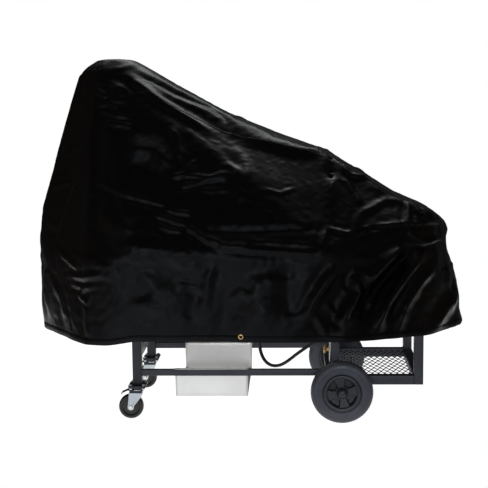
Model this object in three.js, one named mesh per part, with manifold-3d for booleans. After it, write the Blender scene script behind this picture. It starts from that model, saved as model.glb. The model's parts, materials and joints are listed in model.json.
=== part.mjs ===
// A wheeled offset barbecue smoker standing on its steel cart, with its fitted
// vinyl cover on. Millimetres, +Z up, X along the cart from the caster end to
// the firebox end, Y from the operator's side to the back.
//
// Every coordinate below is written in the cart's own frame: X = 0 at the outer
// face of the caster-end legs, Y = 0 at the front face of the frame, Z = 0 on
// the floor. The exported group moves it so that the origin is on the floor
// under the middle of the whole object.

import * as THREE from "three";
import { mergeVertices } from "three/addons/utils/BufferGeometryUtils.js";
import { ConvexGeometry } from "three/addons/geometries/ConvexGeometry.js";
import Module from "manifold-3d";

const wasm = await Module();
wasm.setup();

// ---------------------------------------------------------------- dimensions
const ORIGIN = [490, 217.5, 0]; // middle of the whole object, in the cart frame
const LEG = 38.1; // 1 1/2 in square tube
const RAIL = 25.4; // 1 in square tube
const WALL = 2.4; // tube wall
const FRAME_X = 1190; // frame length
const FRAME_Y = 542; // frame depth
const FOOT_Z = 144; // underside of the legs
const TOP_Z = 445; // top of the frame
const SHELF_Z = 181.5; // top of the log shelf's frame
const MID_X = 816; // middle posts
const MID_T = 32;

const WHEEL_R = 127; // 10 in solid tyre
const WHEEL_W = 68;
const WHEEL_X = 857;
const WHEEL_Y = 50; // middle of the tread, outside the frame
const AXLE_R = 9.5;

const CASTER_R = 50.8; // 4 in caster
const CASTER_W = 32;
const TRAIL = 29;

const BODY = { x0: 20, x1: 815, y0: 30, y1: 512, z0: 446, z1: 1070 };
const SKIN = 3; // cooker sheet
const FIRE = { x0: 817.5, x1: 1200, y0: 55, y1: 487, z0: 446, z1: 842 };
const FLUE = { x: -95, y: 271, r: 57 };

const TRAY = { x0: 173, x1: 475.5, y0: 27.2, y1: 514.8, z0: 89, rim: 207.3 };
const HEM_Z = 366;
const VINYL = 6;

// ----------------------------------------------------------------- materials
const paint = new THREE.MeshStandardMaterial({ color: 0x22242a, roughness: 0.55, metalness: 0.3 });
const zinc = new THREE.MeshStandardMaterial({ color: 0xb9c1c6, roughness: 0.35, metalness: 0.9 });
const stainless = new THREE.MeshStandardMaterial({ color: 0xc4c4c0, roughness: 0.32, metalness: 0.9 });
const heavy = new THREE.MeshStandardMaterial({ color: 0x2a2a2c, roughness: 0.7, metalness: 0.4 });
const brass = new THREE.MeshStandardMaterial({ color: 0xc9a35a, roughness: 0.35, metalness: 0.9 });
const tyre = new THREE.MeshStandardMaterial({ color: 0x24262a, roughness: 0.8, metalness: 0 });
const plastic = new THREE.MeshStandardMaterial({ color: 0x1d1e22, roughness: 0.5, metalness: 0 });
const hoseRubber = new THREE.MeshStandardMaterial({ color: 0x17171a, roughness: 0.5, metalness: 0 });
const vinyl = new THREE.MeshStandardMaterial({ color: 0x0b0c0e, roughness: 0.42, metalness: 0 });

// ------------------------------------------------------------------- helpers
const root = new THREE.Group();
root.position.set(-ORIGIN[0], -ORIGIN[1], -ORIGIN[2]);

function add(name, geometry, material) {
  const mesh = new THREE.Mesh(geometry, material);
  mesh.name = name;
  root.add(mesh);
  return mesh;
}

function clean(geometry) {
  const g = geometry.index ? geometry.toNonIndexed() : geometry.clone();
  g.deleteAttribute("normal");
  g.deleteAttribute("uv");
  return mergeVertices(g, 1e-3);
}

function solid(geometry) {
  const g = clean(geometry);
  return new wasm.Manifold(
    new wasm.Mesh({
      numProp: 3,
      vertProperties: new Float32Array(g.attributes.position.array),
      triVerts: new Uint32Array(g.index.array),
    }),
  );
}

function geometryOf(manifold) {
  const m = manifold.getMesh();
  const n = m.numProp;
  const v = new Float32Array(m.numVert * 3);
  for (let i = 0; i < m.numVert; i++) v.set(m.vertProperties.subarray(i * n, i * n + 3), i * 3);
  const g = new THREE.BufferGeometry();
  g.setAttribute("position", new THREE.BufferAttribute(v, 3));
  g.setIndex(new THREE.BufferAttribute(new Uint32Array(m.triVerts), 1));
  g.computeVertexNormals();
  return g;
}

const union = (...parts) => parts.reduce((a, b) => a.add(b));
const cut = (a, ...parts) => parts.reduce((s, b) => s.subtract(b), a);

// Box between two corners.
function box(x0, x1, y0, y1, z0, z1) {
  const g = new THREE.BoxGeometry(x1 - x0, y1 - y0, z1 - z0);
  g.translate((x0 + x1) / 2, (y0 + y1) / 2, (z0 + z1) / 2);
  return g;
}
const sbox = (...a) => solid(box(...a));

// Turn an extrusion made along +Z so that it runs along another axis.
function along(g, axis) {
  if (axis === "x") g.applyMatrix4(new THREE.Matrix4().makeBasis(new THREE.Vector3(0, 1, 0), new THREE.Vector3(0, 0, 1), new THREE.Vector3(1, 0, 0)));
  if (axis === "y") g.applyMatrix4(new THREE.Matrix4().makeBasis(new THREE.Vector3(0, 0, 1), new THREE.Vector3(1, 0, 0), new THREE.Vector3(0, 1, 0)));
  return g;
}

// Open-ended square tube between two corners, along one axis.
function tube(x0, x1, y0, y1, z0, z1, axis) {
  const size = { x: [y1 - y0, z1 - z0, x1 - x0], y: [z1 - z0, x1 - x0, y1 - y0], z: [x1 - x0, y1 - y0, z1 - z0] }[axis];
  const [a, b, length] = size;
  const s = new THREE.Shape();
  s.moveTo(0, 0).lineTo(a, 0).lineTo(a, b).lineTo(0, b).closePath();
  const h = new THREE.Path();
  h.moveTo(WALL, WALL).lineTo(WALL, b - WALL).lineTo(a - WALL, b - WALL).lineTo(a - WALL, WALL).closePath();
  s.holes.push(h);
  const g = along(new THREE.ExtrudeGeometry(s, { depth: length, bevelEnabled: false }), axis);
  g.translate(x0, y0, z0);
  return g;
}

// Prism of a polygon, along an axis. Points are (y, z) for x, (z, x) for y, (x, y) for z.
function prism(points, from, to, axis) {
  const s = new THREE.Shape(points.map(([a, b]) => new THREE.Vector2(a, b)));
  const g = along(new THREE.ExtrudeGeometry(s, { depth: to - from, bevelEnabled: false }), axis);
  if (axis === "x") g.translate(from, 0, 0);
  if (axis === "y") g.translate(0, from, 0);
  if (axis === "z") g.translate(0, 0, from);
  return g;
}

// Solid of revolution about an axis through a point. Profile is [radius, along].
function turned(profile, at, axis, segments = 24) {
  const g = new THREE.LatheGeometry(profile.map(([r, h]) => new THREE.Vector2(r, h)), segments);
  if (axis === "z") g.rotateX(Math.PI / 2);
  if (axis === "x") g.rotateZ(-Math.PI / 2);
  g.translate(...at);
  return g;
}

// Plain cylinder between two heights.
const rod = (r, from, to, at, axis, segments = 20) =>
  turned([[0, from], [r, from], [r, to], [0, to]], at, axis, segments);

// Round bar along a path.
function bar(points, r, sides = 10, steps = 24, tension = 0.5) {
  const path = new THREE.CatmullRomCurve3(points.map((p) => new THREE.Vector3(...p)), false, "catmullrom", tension);
  const s = new THREE.Shape();
  for (let i = 0; i < sides; i++) {
    const a = (2 * Math.PI * i) / sides;
    if (i === 0) s.moveTo(r, 0);
    else s.lineTo(r * Math.cos(a), r * Math.sin(a));
  }
  s.closePath();
  return new THREE.ExtrudeGeometry(s, { steps, extrudePath: path, bevelEnabled: false });
}

// ------------------------------------------------------------------ the cart
for (const [side, y0] of [["near", 0], ["far", FRAME_Y - LEG]]) {
  // caster leg with its welded foot plate
  add(side + "_caster_leg", geometryOf(union(
    solid(tube(0, LEG, y0, y0 + LEG, FOOT_Z, TOP_Z, "z")),
    sbox(LEG / 2 - 36, LEG / 2 + 36, y0 + LEG / 2 - 46, y0 + LEG / 2 + 46, FOOT_Z - 6, FOOT_Z + 0.5))), paint);
  add(side + "_end_post", tube(FRAME_X - LEG, FRAME_X, y0, y0 + LEG, FOOT_Z, TOP_Z, "z"), paint);
  const m0 = side === "near" ? 0 : FRAME_Y - MID_T;
  add(side + "_middle_post", tube(MID_X, MID_X + MID_T, m0, m0 + MID_T, SHELF_Z + 0.4, TOP_Z, "z"), paint);
  const r0 = side === "near" ? 0 : FRAME_Y - RAIL;
  add(side + "_lower_rail", tube(LEG + 0.3, MID_X - 0.3, r0, r0 + RAIL, SHELF_Z, SHELF_Z + RAIL, "x"), paint);
  add(side + "_shelf_rail", tube(MID_X - 20, FRAME_X - LEG - 0.3, y0, y0 + LEG, SHELF_Z - LEG, SHELF_Z, "x"), paint);
}
add("caster_end_rail", tube(6, 31, LEG + 0.3, FRAME_Y - LEG - 0.3, 246, 296, "y"), paint);
add("end_shelf_rail", tube(FRAME_X - LEG, FRAME_X, LEG + 0.3, FRAME_Y - LEG - 0.3, SHELF_Z - LEG, SHELF_Z, "y"), paint);
add("inner_shelf_rail", tube(MID_X - 20, MID_X - 20 + RAIL, LEG + 0.3, FRAME_Y - LEG - 0.3, SHELF_Z - RAIL, SHELF_Z, "y"), paint);

// Log shelf: flattened expanded metal welded between the shelf rails.
{
  const x0 = MID_X - 20 + RAIL + 0.4, x1 = FRAME_X - LEG - 0.4, y0 = LEG + 0.4, y1 = FRAME_Y - LEG - 0.4;
  const swd = 38.1, lwd = 88.9, strand = 6;
  const s = new THREE.Shape();
  s.moveTo(x0, y0).lineTo(x1, y0).lineTo(x1, y1).lineTo(x0, y1).closePath();
  const hx = swd / 2 - strand * 0.55, hy = lwd / 2 - strand * 1.35;
  const cols = Math.floor((x1 - x0 - 8) / swd), rows = Math.floor((y1 - y0 - 8) / lwd);
  const ox = (x0 + x1) / 2 - (cols * swd) / 2, oy = (y0 + y1) / 2 - (rows * lwd) / 2;
  const hole = (cx, cy) => {
    if (cx - hx < x0 + 3 || cx + hx > x1 - 3 || cy - hy < y0 + 3 || cy + hy > y1 - 3) return;
    const p = new THREE.Path();
    p.moveTo(cx - hx, cy).lineTo(cx, cy + hy).lineTo(cx + hx, cy).lineTo(cx, cy - hy).closePath();
    s.holes.push(p);
  };
  for (let i = 0; i <= cols; i++)
    for (let j = 0; j <= rows; j++) {
      hole(ox + swd * (i + 0.5), oy + lwd * (j + 0.5));
      hole(ox + swd * i, oy + lwd * j);
    }
  const g = new THREE.ExtrudeGeometry(s, { depth: 3, bevelEnabled: false });
  g.translate(0, 0, SHELF_Z - 7);
  add("log_shelf_mesh", g, paint);
}

// Axle, clamped under the shelf rails, with its two brackets.
{
  const axle = rod(AXLE_R, -WHEEL_Y - 46, FRAME_Y + WHEEL_Y + 46, [WHEEL_X, 0, WHEEL_R], "y", 20);
  add("axle", axle, zinc);
  for (const [side, y0] of [["near", 4], ["far", FRAME_Y - 34]]) {
    const plate = sbox(WHEEL_X - 34, WHEEL_X + 34, y0, y0 + 30, WHEEL_R - 16, SHELF_Z - LEG - 0.3);
    const bore = solid(rod(AXLE_R + 0.5, y0 - 5, y0 + 35, [WHEEL_X, 0, WHEEL_R], "y", 20));
    add(side + "_axle_bracket", geometryOf(cut(plate, bore)), paint);
  }
}

// Wheels: solid rubber tyre on a moulded rim with four pockets.
function wheel(side, sign) {
  const yc = sign < 0 ? -WHEEL_Y : FRAME_Y + WHEEL_Y;
  const w = WHEEL_W / 2;
  const t = [[78, -w + 8], [90, -w + 3], [99, -w + 1], [112, -w + 3], [122, -w + 10], [WHEEL_R, -w + 25],
    [WHEEL_R, w - 25], [122, w - 10], [112, w - 3], [99, w - 1], [90, w - 3], [78, w - 8], [78, -w + 8]];
  add(side + "_tyre", turned(t, [WHEEL_X, yc, WHEEL_R], "y", 28), tyre);
  // rim: outer ring, dished web, hub with a bore for the axle
  const o = -1; // outer side of the near wheel is -Y
  const f = (r, h) => [r, h];
  const p = [f(9.66, -44), f(15, -44), f(20, -40), f(21, -22), f(58, -20), f(66, -32), f(76, -33), f(77.5, -w + 8), f(77.5, w - 8), f(70, w - 4), f(64, 10), f(24, 6), f(20, 33), f(9.66, 33), f(9.66, -44)];
  const q = sign < 0 ? p : p.map(([r, h]) => [r, -h]).reverse();
  let rim = solid(turned(q, [WHEEL_X, yc, WHEEL_R], "y", 24));
  for (let k = 0; k < 4; k++) {
    const a = (Math.PI / 180) * (60 + 90 * k);
    const half = Math.PI / 9;
    const pts = [];
    for (const [r, d] of [[27, -0.55], [54, -0.85], [54, 0.85], [27, 0.55]]) pts.push([r * Math.sin(a + d * half), r * Math.cos(a + d * half)]);
    // polygon in (z, x), recessed from the outer face
    const y0 = sign < 0 ? yc - 40 : yc + 10, y1 = sign < 0 ? yc - 10 : yc + 40;
    const poly = pts.map(([z, x]) => [z + WHEEL_R, x + WHEEL_X]);
    rim = rim.subtract(solid(prism(THREE.ShapeUtils.isClockWise(poly.map(([u, v]) => new THREE.Vector2(u, v))) ? poly.reverse() : poly, y0, y1, "y")));
  }
  add(side + "_rim", geometryOf(rim), plastic);
}
wheel("near", -1);
wheel("far", 1);

// Swivel casters: foot plate, top plate, fork, wheel, axle bolt and brake pedal.
function caster(side, cy) {
  const cx = LEG / 2, ax = cx - TRAIL, az = CASTER_R;
  // top plate with the raceway under it
  const plate = sbox(cx - 34, cx + 34, cy - 44, cy + 44, 133.7, 137.4);
  const race = solid(turned([[0, 0], [24, 0], [29, 4], [29, 7], [26, 9.5], [0, 9.5]], [cx, cy, 124.5], "z", 24));
  add(side + "_caster_plate", geometryOf(union(plate, race)), zinc);
  // fork
  const crown = solid(turned([[0, 0], [27, 0], [27, 4.2], [0, 4.2]], [cx, cy, 119.6], "z", 24));
  const bridge = sbox(cx - 33, cx + 22, cy - 23.5, cy + 23.5, 119.6, 123);
  const cheeks = [];
  const outline = [];
  for (let i = 0; i <= 8; i++) {
    const a = Math.PI + (Math.PI * i) / 8 + 0.25;
    outline.push([az + 13.5 * Math.sin(a), ax + 13.5 * Math.cos(a)]);
  }
  outline.push([96, cx + 16], [122.5, cx + 20], [122.5, cx - 33], [96, cx - 37]);
  const v = outline.map(([z, x]) => new THREE.Vector2(z, x));
  const poly = THREE.ShapeUtils.isClockWise(v) ? outline.reverse() : outline;
  for (const y0 of [cy - 23.5, cy + 20.5]) cheeks.push(solid(prism(poly, y0, y0 + 3, "y")));
  const bolt = solid(turned([[0, -29], [8, -29], [8, -23], [4.8, -23], [4.8, 23], [7, 23], [7, 28], [0, 28]], [ax, cy, az], "y", 12));
  add(side + "_caster_fork", geometryOf(union(crown, bridge, ...cheeks, bolt)), zinc);
  const w = CASTER_W / 2;
  add(side + "_caster_wheel",
    turned([[4.96, -18.5], [14, -18.5], [16, -w + 4], [34, -w + 4], [38, -w], [47, -w], [CASTER_R, -w + 6], [CASTER_R, w - 6], [47, w], [38, w], [34, w - 4], [16, w - 4], [14, 18.5], [4.96, 18.5], [4.96, -18.5]], [ax, cy, az], "y", 20), tyre);
  // brake pedal, over the top of the wheel on the trailing side
  const px = cx - 34.5;
  const pedal = [[118, px], [118, px - 8], [108, px - 30], [102, px - 33], [104.5, px - 35.5], [110.5, px - 32], [121, px - 9], [121, px]];
  const pv = pedal.map(([z, x]) => new THREE.Vector2(z, x));
  add(side + "_brake_pedal", prism(THREE.ShapeUtils.isClockWise(pv) ? pedal.reverse() : pedal, cy - 15, cy + 15, "y"), zinc);
}
caster("near", LEG / 2);
caster("far", FRAME_Y - LEG / 2);

// Pull handle at the caster end: a bent bar welded to the cooker's end wall.
add("pull_handle", bar([[BODY.x0 - 0.4, 190, 700], [-60, 190, 700], [-120, 190, 702], [-280, 194, 710], [-352, 218, 712], [-374, 271, 712], [-352, 324, 712], [-280, 348, 710], [-120, 352, 702], [-60, 352, 700], [BODY.x0 - 0.4, 352, 700]], 9, 8, 26, 0.35), stainless);

// ---------------------------------------------------------------- the cooker
{
  const shell = solid(prism([[BODY.y0, BODY.z0], [BODY.y1, BODY.z0], [BODY.y1, BODY.z1], [BODY.y0 + 82, BODY.z1], [BODY.y0, 800]], BODY.x0, BODY.x1, "x"));
  const inside = solid(prism([[BODY.y0 + SKIN, BODY.z0 + SKIN], [BODY.y1 - SKIN, BODY.z0 + SKIN], [BODY.y1 - SKIN, BODY.z1 + 60], [BODY.y0 - 60, BODY.z1 + 60], [BODY.y0 - 60, 800], [BODY.y0 + SKIN, 800]], BODY.x0 + SKIN, BODY.x1 - SKIN, "x"));
  const flue = solid(rod(50, BODY.x0 - 10, BODY.x0 + 10, [0, FLUE.y, 900], "x", 24));
  const throat = sbox(BODY.x1 - 10, BODY.x1 + 10, 120, 422, 500, 640);
  const drain = cut(
    solid(rod(13.6, 395, BODY.z0 + 1, [324, 271, 0], "z", 16)));
  const drainBore = solid(rod(10, 380, BODY.z0 + 10, [324, 271, 0], "z", 16));
  add("cooking_chamber", geometryOf(cut(union(cut(shell, inside), drain), flue, throat, drainBore)), stainless);
}

// Lid: one bent sheet with end skirts, hinged along the top of the back wall.
const LID_OFF = 1.2;
{
  const y0 = BODY.y0 - LID_OFF, s = 2.5;
  const out = [[y0 - s, 792], [y0 - s, 800.6], [BODY.y0 + 82 - LID_OFF - s * 0.62, BODY.z1 + LID_OFF + s], [BODY.y1 + 0.2, BODY.z1 + LID_OFF + s], [BODY.y1 + 0.2, BODY.z1 + LID_OFF], [BODY.y0 + 82 - LID_OFF + 0.3, BODY.z1 + LID_OFF], [y0, 800], [y0, 792]];
  const sheet = solid(prism(out, BODY.x0 - 4.5, BODY.x1 + 1.6, "x"));
  const skirt = [[y0 - s + 0.4, 794], [y0 - s + 0.4, 800.6], [BODY.y0 + 82 - LID_OFF - s * 0.62, BODY.z1 + LID_OFF + s - 0.4], [BODY.y1, BODY.z1 + LID_OFF + s - 0.4], [BODY.y1, BODY.z1 - 18], [BODY.y0 + 92, BODY.z1 - 18], [y0 + 14, 794]];
  const left = solid(prism(skirt, BODY.x0 - 4.5, BODY.x0 - 2, "x"));
  add("cooking_lid", geometryOf(union(sheet, left)), stainless);
}
// long hinge on the back wall: leaf, barrel and pin
{
  const x0 = BODY.x0 + 50, x1 = BODY.x1 - 50;
  const leaf = sbox(x0, x1, BODY.y1 + 0.4, BODY.y1 + 3.4, BODY.z1 - 60, BODY.z1 + 1);
  const barrel = solid(rod(7, x0, x1, [0, BODY.y1 + 8, BODY.z1 + 3], "x", 14));
  add("lid_hinge_barrel", geometryOf(union(leaf, barrel)), zinc);
}
// lid handle: bar on two stand-offs, square to the sloping front
{
  const at = (d, t) => [BODY.y0 + t * 82 - d * 0.957, 800 + t * 270 + d * 0.29];
  const [ya, za] = at(5.5, 0.45), [yb, zb] = at(42, 0.45);
  const grip = solid(bar([[170, yb, zb], [300, yb, zb], [490, yb, zb], [620, yb, zb]], 11, 12, 3));
  const stand = [200, 590].map((x) => solid(bar([[x, ya, za], [x, (ya + yb) / 2, (za + zb) / 2], [x, yb, zb]], 6, 8, 2)));
  add("lid_handle", geometryOf(union(grip, ...stand)), stainless);
}
// dial thermometer in the lid's top
add("lid_thermometer", turned([[0, 0], [30, 0], [30, 7], [26, 9.5], [0, 9.5]], [655, 330, BODY.z1 + LID_OFF + 2.9], "z", 24), stainless);

// cooking grate: frame with cross rods
{
  const z = 742, x0 = BODY.x0 + 9, x1 = BODY.x1 - 9, y0 = BODY.y0 + 9, y1 = BODY.y1 - 9;
  const parts = [sbox(x0, x1, y0, y0 + 8, z, z + 8), sbox(x0, x1, y1 - 8, y1, z, z + 8), sbox(x0, x0 + 8, y0, y1, z, z + 8), sbox(x1 - 8, x1, y0, y1, z, z + 8), sbox(x0, x1, 267, 275, z, z + 5)];
  for (let i = 1; i < 20; i++) {
    const x = x0 + ((x1 - x0) * i) / 20;
    parts.push(sbox(x - 2.5, x + 2.5, y0 + 4, y1 - 4, z + 2, z + 7));
  }
  add("cooking_grate", geometryOf(union(...parts)), heavy);
}

// Flue: a box elbow on the end wall, the stack and its rain cap.
{
  const elbow = union(sbox(FLUE.x - 60, BODY.x0 - 0.4, FLUE.y - 62, FLUE.y + 62, 835, 965));
  const hollow = union(sbox(FLUE.x - 57, BODY.x0 + 5, FLUE.y - 59, FLUE.y + 59, 838, 962), solid(rod(54, 950, 980, [FLUE.x, FLUE.y, 0], "z", 24)));
  const stack = solid(turned([[54, 958], [FLUE.r, 958], [FLUE.r, 1410], [54, 1410], [54, 958]], [FLUE.x, FLUE.y, 0], "z", 24));
  add("flue_stack", geometryOf(union(cut(elbow, hollow), stack)), stainless);
}
{
  const cap = solid(turned([[0, 1448], [0, 1453], [40, 1450], [106, 1432], [106, 1428], [104, 1428], [40, 1446], [0, 1448]].reverse(), [FLUE.x, FLUE.y, 0], "z", 24));
  const ring = solid(turned([[57.8, 1380], [60, 1380], [60, 1404], [57.8, 1404], [57.8, 1380]], [FLUE.x, FLUE.y, 0], "z", 24));
  const legs = [0, 1, 2].map((k) => {
    const a = (k * 2 * Math.PI) / 3;
    const g = box(58.2, 61.2, -7, 7, 1385, 1443);
    g.rotateZ(a);
    g.translate(FLUE.x, FLUE.y, 0);
    return solid(g);
  });
  add("flue_cap", geometryOf(union(cap, ring, ...legs)), stainless);
}
// butterfly damper in the stack with its lever outside: the spindle runs through the pipe
{
  const z = 1180;
  const disc = solid(rod(48, z - 1.5, z + 1.5, [FLUE.x, FLUE.y, 0], "z", 24));
  const spindle = solid(rod(4, FLUE.y - 72, FLUE.y + 50, [FLUE.x, 0, z], "y", 12));
  const lever = solid(bar([[FLUE.x, FLUE.y - 70, z], [FLUE.x, FLUE.y - 74, z], [FLUE.x + 30, FLUE.y - 74, z], [FLUE.x + 62, FLUE.y - 74, z]], 4, 8, 6, 0.2));
  add("flue_damper", geometryOf(union(disc, spindle, lever)), zinc);
  const old = root.getObjectByName("flue_stack");
  old.geometry = geometryOf(cut(solid(old.geometry), solid(rod(4.6, FLUE.y - 62, FLUE.y - 50, [FLUE.x, 0, z], "y", 12))));
}

// Firebox: thick shell, open at the top, with a throat into the chamber.
{
  const shell = sbox(FIRE.x0, FIRE.x1, FIRE.y0, FIRE.y1, FIRE.z0, FIRE.z1);
  const inside = sbox(FIRE.x0 + 4, FIRE.x1 - 4, FIRE.y0 + 4, FIRE.y1 - 4, FIRE.z0 + 4, FIRE.z1 + 20);
  const throat = sbox(FIRE.x0 - 10, FIRE.x0 + 10, 122, 420, 502, 638);
  const air = [];
  for (let k = 0; k < 4; k++) {
    const g = rod(13, FIRE.x1 - 10, FIRE.x1 + 10, [0, 0, 0], "x", 16);
    const a = (k * Math.PI) / 2 + Math.PI / 4;
    g.translate(0, 271 + 34 * Math.cos(a), 560 + 34 * Math.sin(a));
    air.push(solid(g));
  }
  add("firebox", geometryOf(cut(shell, inside, throat, ...air)), heavy);
}
add("firebox_lid", geometryOf(union(
  sbox(FIRE.x0 - 0.5, FIRE.x1 + 3.5, FIRE.y0 - 3.5, FIRE.y1 + 1, FIRE.z1 + 0.6, FIRE.z1 + 4.6),
  sbox(FIRE.x0 - 0.5, FIRE.x1 + 3.5, FIRE.y0 - 3.5, FIRE.y0 - 0.8, FIRE.z1 - 22, FIRE.z1 + 2),
  sbox(FIRE.x1 + 0.8, FIRE.x1 + 3.5, FIRE.y0 - 3.5, FIRE.y1 - 4, FIRE.z1 - 22, FIRE.z1 + 2))), heavy);
add("firebox_lid_handle", geometryOf(union(
  solid(bar([[930, FIRE.y0 - 40, 830], [980, FIRE.y0 - 40, 830], [1040, FIRE.y0 - 40, 830], [1090, FIRE.y0 - 40, 830]], 9, 10, 3)),
  solid(bar([[955, FIRE.y0 - 4, 830], [955, FIRE.y0 - 20, 830], [955, FIRE.y0 - 40, 830]], 5, 8, 2)),
  solid(bar([[1065, FIRE.y0 - 4, 830], [1065, FIRE.y0 - 20, 830], [1065, FIRE.y0 - 40, 830]], 5, 8, 2)))), stainless);
{
  const x = (FIRE.x0 + FIRE.x1) / 2;
  const leaf = sbox(x - 120, x + 120, FIRE.y1 + 0.4, FIRE.y1 + 3.4, FIRE.z1 - 50, FIRE.z1 + 0.3);
  const barrel = solid(rod(7, x - 120, x + 120, [0, FIRE.y1 + 8.6, FIRE.z1 + 3], "x", 14));
  add("firebox_hinge_barrel", geometryOf(union(leaf, barrel)), zinc);
}
// air damper: a four-hole disc on the firebox's end
{
  let disc = solid(rod(56, FIRE.x1 + 0.6, FIRE.x1 + 3.6, [0, 271, 560], "x", 32));
  for (let k = 0; k < 4; k++) {
    const g = rod(13, FIRE.x1 - 5, FIRE.x1 + 10, [0, 0, 0], "x", 16);
    const a = (k * Math.PI) / 2 + Math.PI / 4;
    g.translate(0, 271 + 34 * Math.cos(a), 560 + 34 * Math.sin(a));
    disc = disc.subtract(solid(g));
  }
  const knob = solid(turned([[0, 0], [7, 0], [7, 8], [11, 12], [11, 20], [8, 23], [0, 23]], [FIRE.x1 + 3, 271 + 46, 560], "x", 16));
  add("air_damper", geometryOf(union(disc, knob)), heavy);
}
// lifting handle at the firebox end
add("end_handle", bar([[FIRE.x1 + 0.4, 204, 770], [FIRE.x1 + 34, 204, 770], [FIRE.x1 + 62, 210, 770], [FIRE.x1 + 69, 230, 770], [FIRE.x1 + 69, 271, 770], [FIRE.x1 + 69, 312, 770], [FIRE.x1 + 62, 332, 770], [FIRE.x1 + 34, 338, 770], [FIRE.x1 + 0.4, 338, 770]], 8, 10, 28, 0.4), stainless);
// fire grate
{
  const z = 492, parts = [sbox(828, 840, 66, 476, z, z + 10), sbox(1168, 1180, 66, 476, z, z + 10)];
  for (let i = 0; i < 9; i++) parts.push(sbox(834, 1174, 68 + i * 49.5, 78 + i * 49.5, z, z + 10));
  add("fire_grate", geometryOf(union(...parts)), heavy);
}

// Front work shelf, hinged on the chamber's front wall so that it folds down.
{
  const y1 = BODY.y0 - 9, y0 = -166, z = 690;
  const top = cut(sbox(60, 792, y0, y1, z, z + 22), sbox(63, 789, y0 + 3, y1 - 3, z - 5, z + 19.5));
  add("front_shelf", geometryOf(top), stainless);
  add("shelf_hinge", geometryOf(union(sbox(80, 772, BODY.y0 - 3.4, BODY.y0 - 0.4, z - 34, z + 18), solid(rod(3.5, 80, 772, [0, BODY.y0 - 4.5, z - 4], "x", 10)))), zinc);
}

// Drip tray: a deep sheet pan hung by its flanges on the two lower rails.
{
  const t = 1.6, { x0, x1, y0, y1, z0, rim } = TRAY;
  const bent = prism([
    [3, rim], [y0, rim], [y0, z0], [y1, z0], [y1, rim], [FRAME_Y - 3, rim], [FRAME_Y - 3, rim + t],
    [y1 - t, rim + t], [y1 - t, z0 + t], [y0 + t, z0 + t], [y0 + t, rim + t], [3, rim + t]], x0, x1, "x");
  const lip = (x) => sbox(x, x + t, y0 + 0.8, y1 - 0.8, z0 + 0.8, z0 + 11);
  add("drip_tray", geometryOf(union(solid(bent), lip(x0 + 0.4), lip(x1 - t - 0.4))), stainless);
}

// Gas log lighter: burner tube under the firebox, valve on the middle post, hose.
{
  const plate = sbox(MID_X - 7.6, MID_X - 0.4, 3, 66, 238, TOP_Z);
  const stem = solid(rod(5, 795.4, 809, [0, 35, 285], "x", 12));
  const bush = solid(turned([[0, 0], [9, 0], [9, 5], [0, 5]], [803.2, 35, 285], "x", 6));
  add("valve_plate", geometryOf(plate), stainless);
  const body = union(stem, bush);
  add("gas_valve_stem", geometryOf(cut(body, sbox(MID_X - 7.9, MID_X + 5, 0, 80, 240, 330))), brass);
  add("gas_valve_knob", turned([[0, 0], [14, 0], [16.8, 2.5], [16.8, 9], [14, 11.6], [0, 11.6]], [783.4, 35, 285], "x", 20), brass);
}
const HOSE = [
  [517, 150, 424], [517, 150, 396], [517, 150, 360], [517, 150, 320], [518, 150, 284], [524, 150, 246], [540, 150, 210],
  [569, 150, 188], [606, 150, 190], [640, 150, 210], [672, 150, 236], [706, 150, 260], [740, 150, 284], [774, 150, 308],
  [806, 150, 332], [834, 150, 353], [858, 150, 371],
];
add("gas_hose", bar(HOSE, 7, 8, 26), hoseRubber);
add("hose_fitting", turned([[0, 0], [10, 0], [10, 14], [7, 16], [7, 21.2], [0, 21.2]], [517, 150, 424.4], "z", 6), brass);
{
  // regulator: entry in line with the hose, body hung under the frame top
  const d = new THREE.Vector3(24, 0, 18).normalize();
  const g = turned([[0, 0], [10, 0], [10, 14], [24, 16], [30, 22], [30, 38], [22, 44], [0, 44]], [0, 0, 0], "z", 20);
  g.applyQuaternion(new THREE.Quaternion().setFromUnitVectors(new THREE.Vector3(0, 0, 1), d));
  g.translate(858 + d.x * 0.5, 150, 371 + d.z * 0.5);
  add("gas_regulator", g, heavy);
}

// ----------------------------------------------------------------- the cover
// Taut over the rain cap, the lid's edge, the front shelf, the end handle and
// the pull handle, with a skirt that flares to the hem. Sewn from a front and a
// back panel and a band that runs up one end, over the top and down the other.
function hull(points) {
  return solid(new ConvexGeometry(points.map((p) => new THREE.Vector3(...p))));
}
// Draw points in toward the middle of the cover, by about VINYL at its faces.
const inward = (points, flat) => points.map(([x, y, z]) => [490 + (x - 490) * (1 - VINYL / 830), 235 + (y - 235) * (1 - VINYL / 400), flat ? z : 800 + (z - 800) * (1 - VINYL / 520)]);
const ring = (r, z) => [...Array(8)].map((_, i) => {
  const a = (i + 0.5) * (Math.PI / 4);
  return [FLUE.x + r * Math.cos(a), FLUE.y + r * Math.sin(a), z];
});
const UPPER = [
  ...ring(122, 1467), ...ring(134, 1418),
  [-60, 84, 1092], [-60, 540, 1098], [822, 84, 1086], [822, 540, 1086],
  [1218, 30, 852], [1218, 522, 852],
  [1287, 196, 792], [1287, 346, 792], [1287, 196, 748], [1287, 346, 748],
  [30, -192, 722], [808, -194, 726], [-398, 196, 738], [-398, 346, 738],
];
const HEM = [[-402, 262], [-318, 90], [-228, -50], [-160, -140], [0, -176], [360, -184], [690, -186], [860, -208], [1010, -150], [1190, -70], [1262, 10], [1338, 150], [1382, 262], [1330, 400], [1250, 520], [1150, 600], [860, 640], [400, 643], [0, 640], [-160, 600], [-240, 500], [-330, 380]];
const HIP = [[-396, 262], [-345, 110], [-234, -30], [-156, -130], [0, -176], [360, -186], [690, -188], [850, -176], [1010, -126], [1150, -58], [1232, 40], [1284, 180], [1290, 262], [1284, 380], [1228, 512], [1120, 588], [860, 628], [400, 635], [0, 633], [-156, 592], [-238, 500], [-345, 410]];
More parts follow.
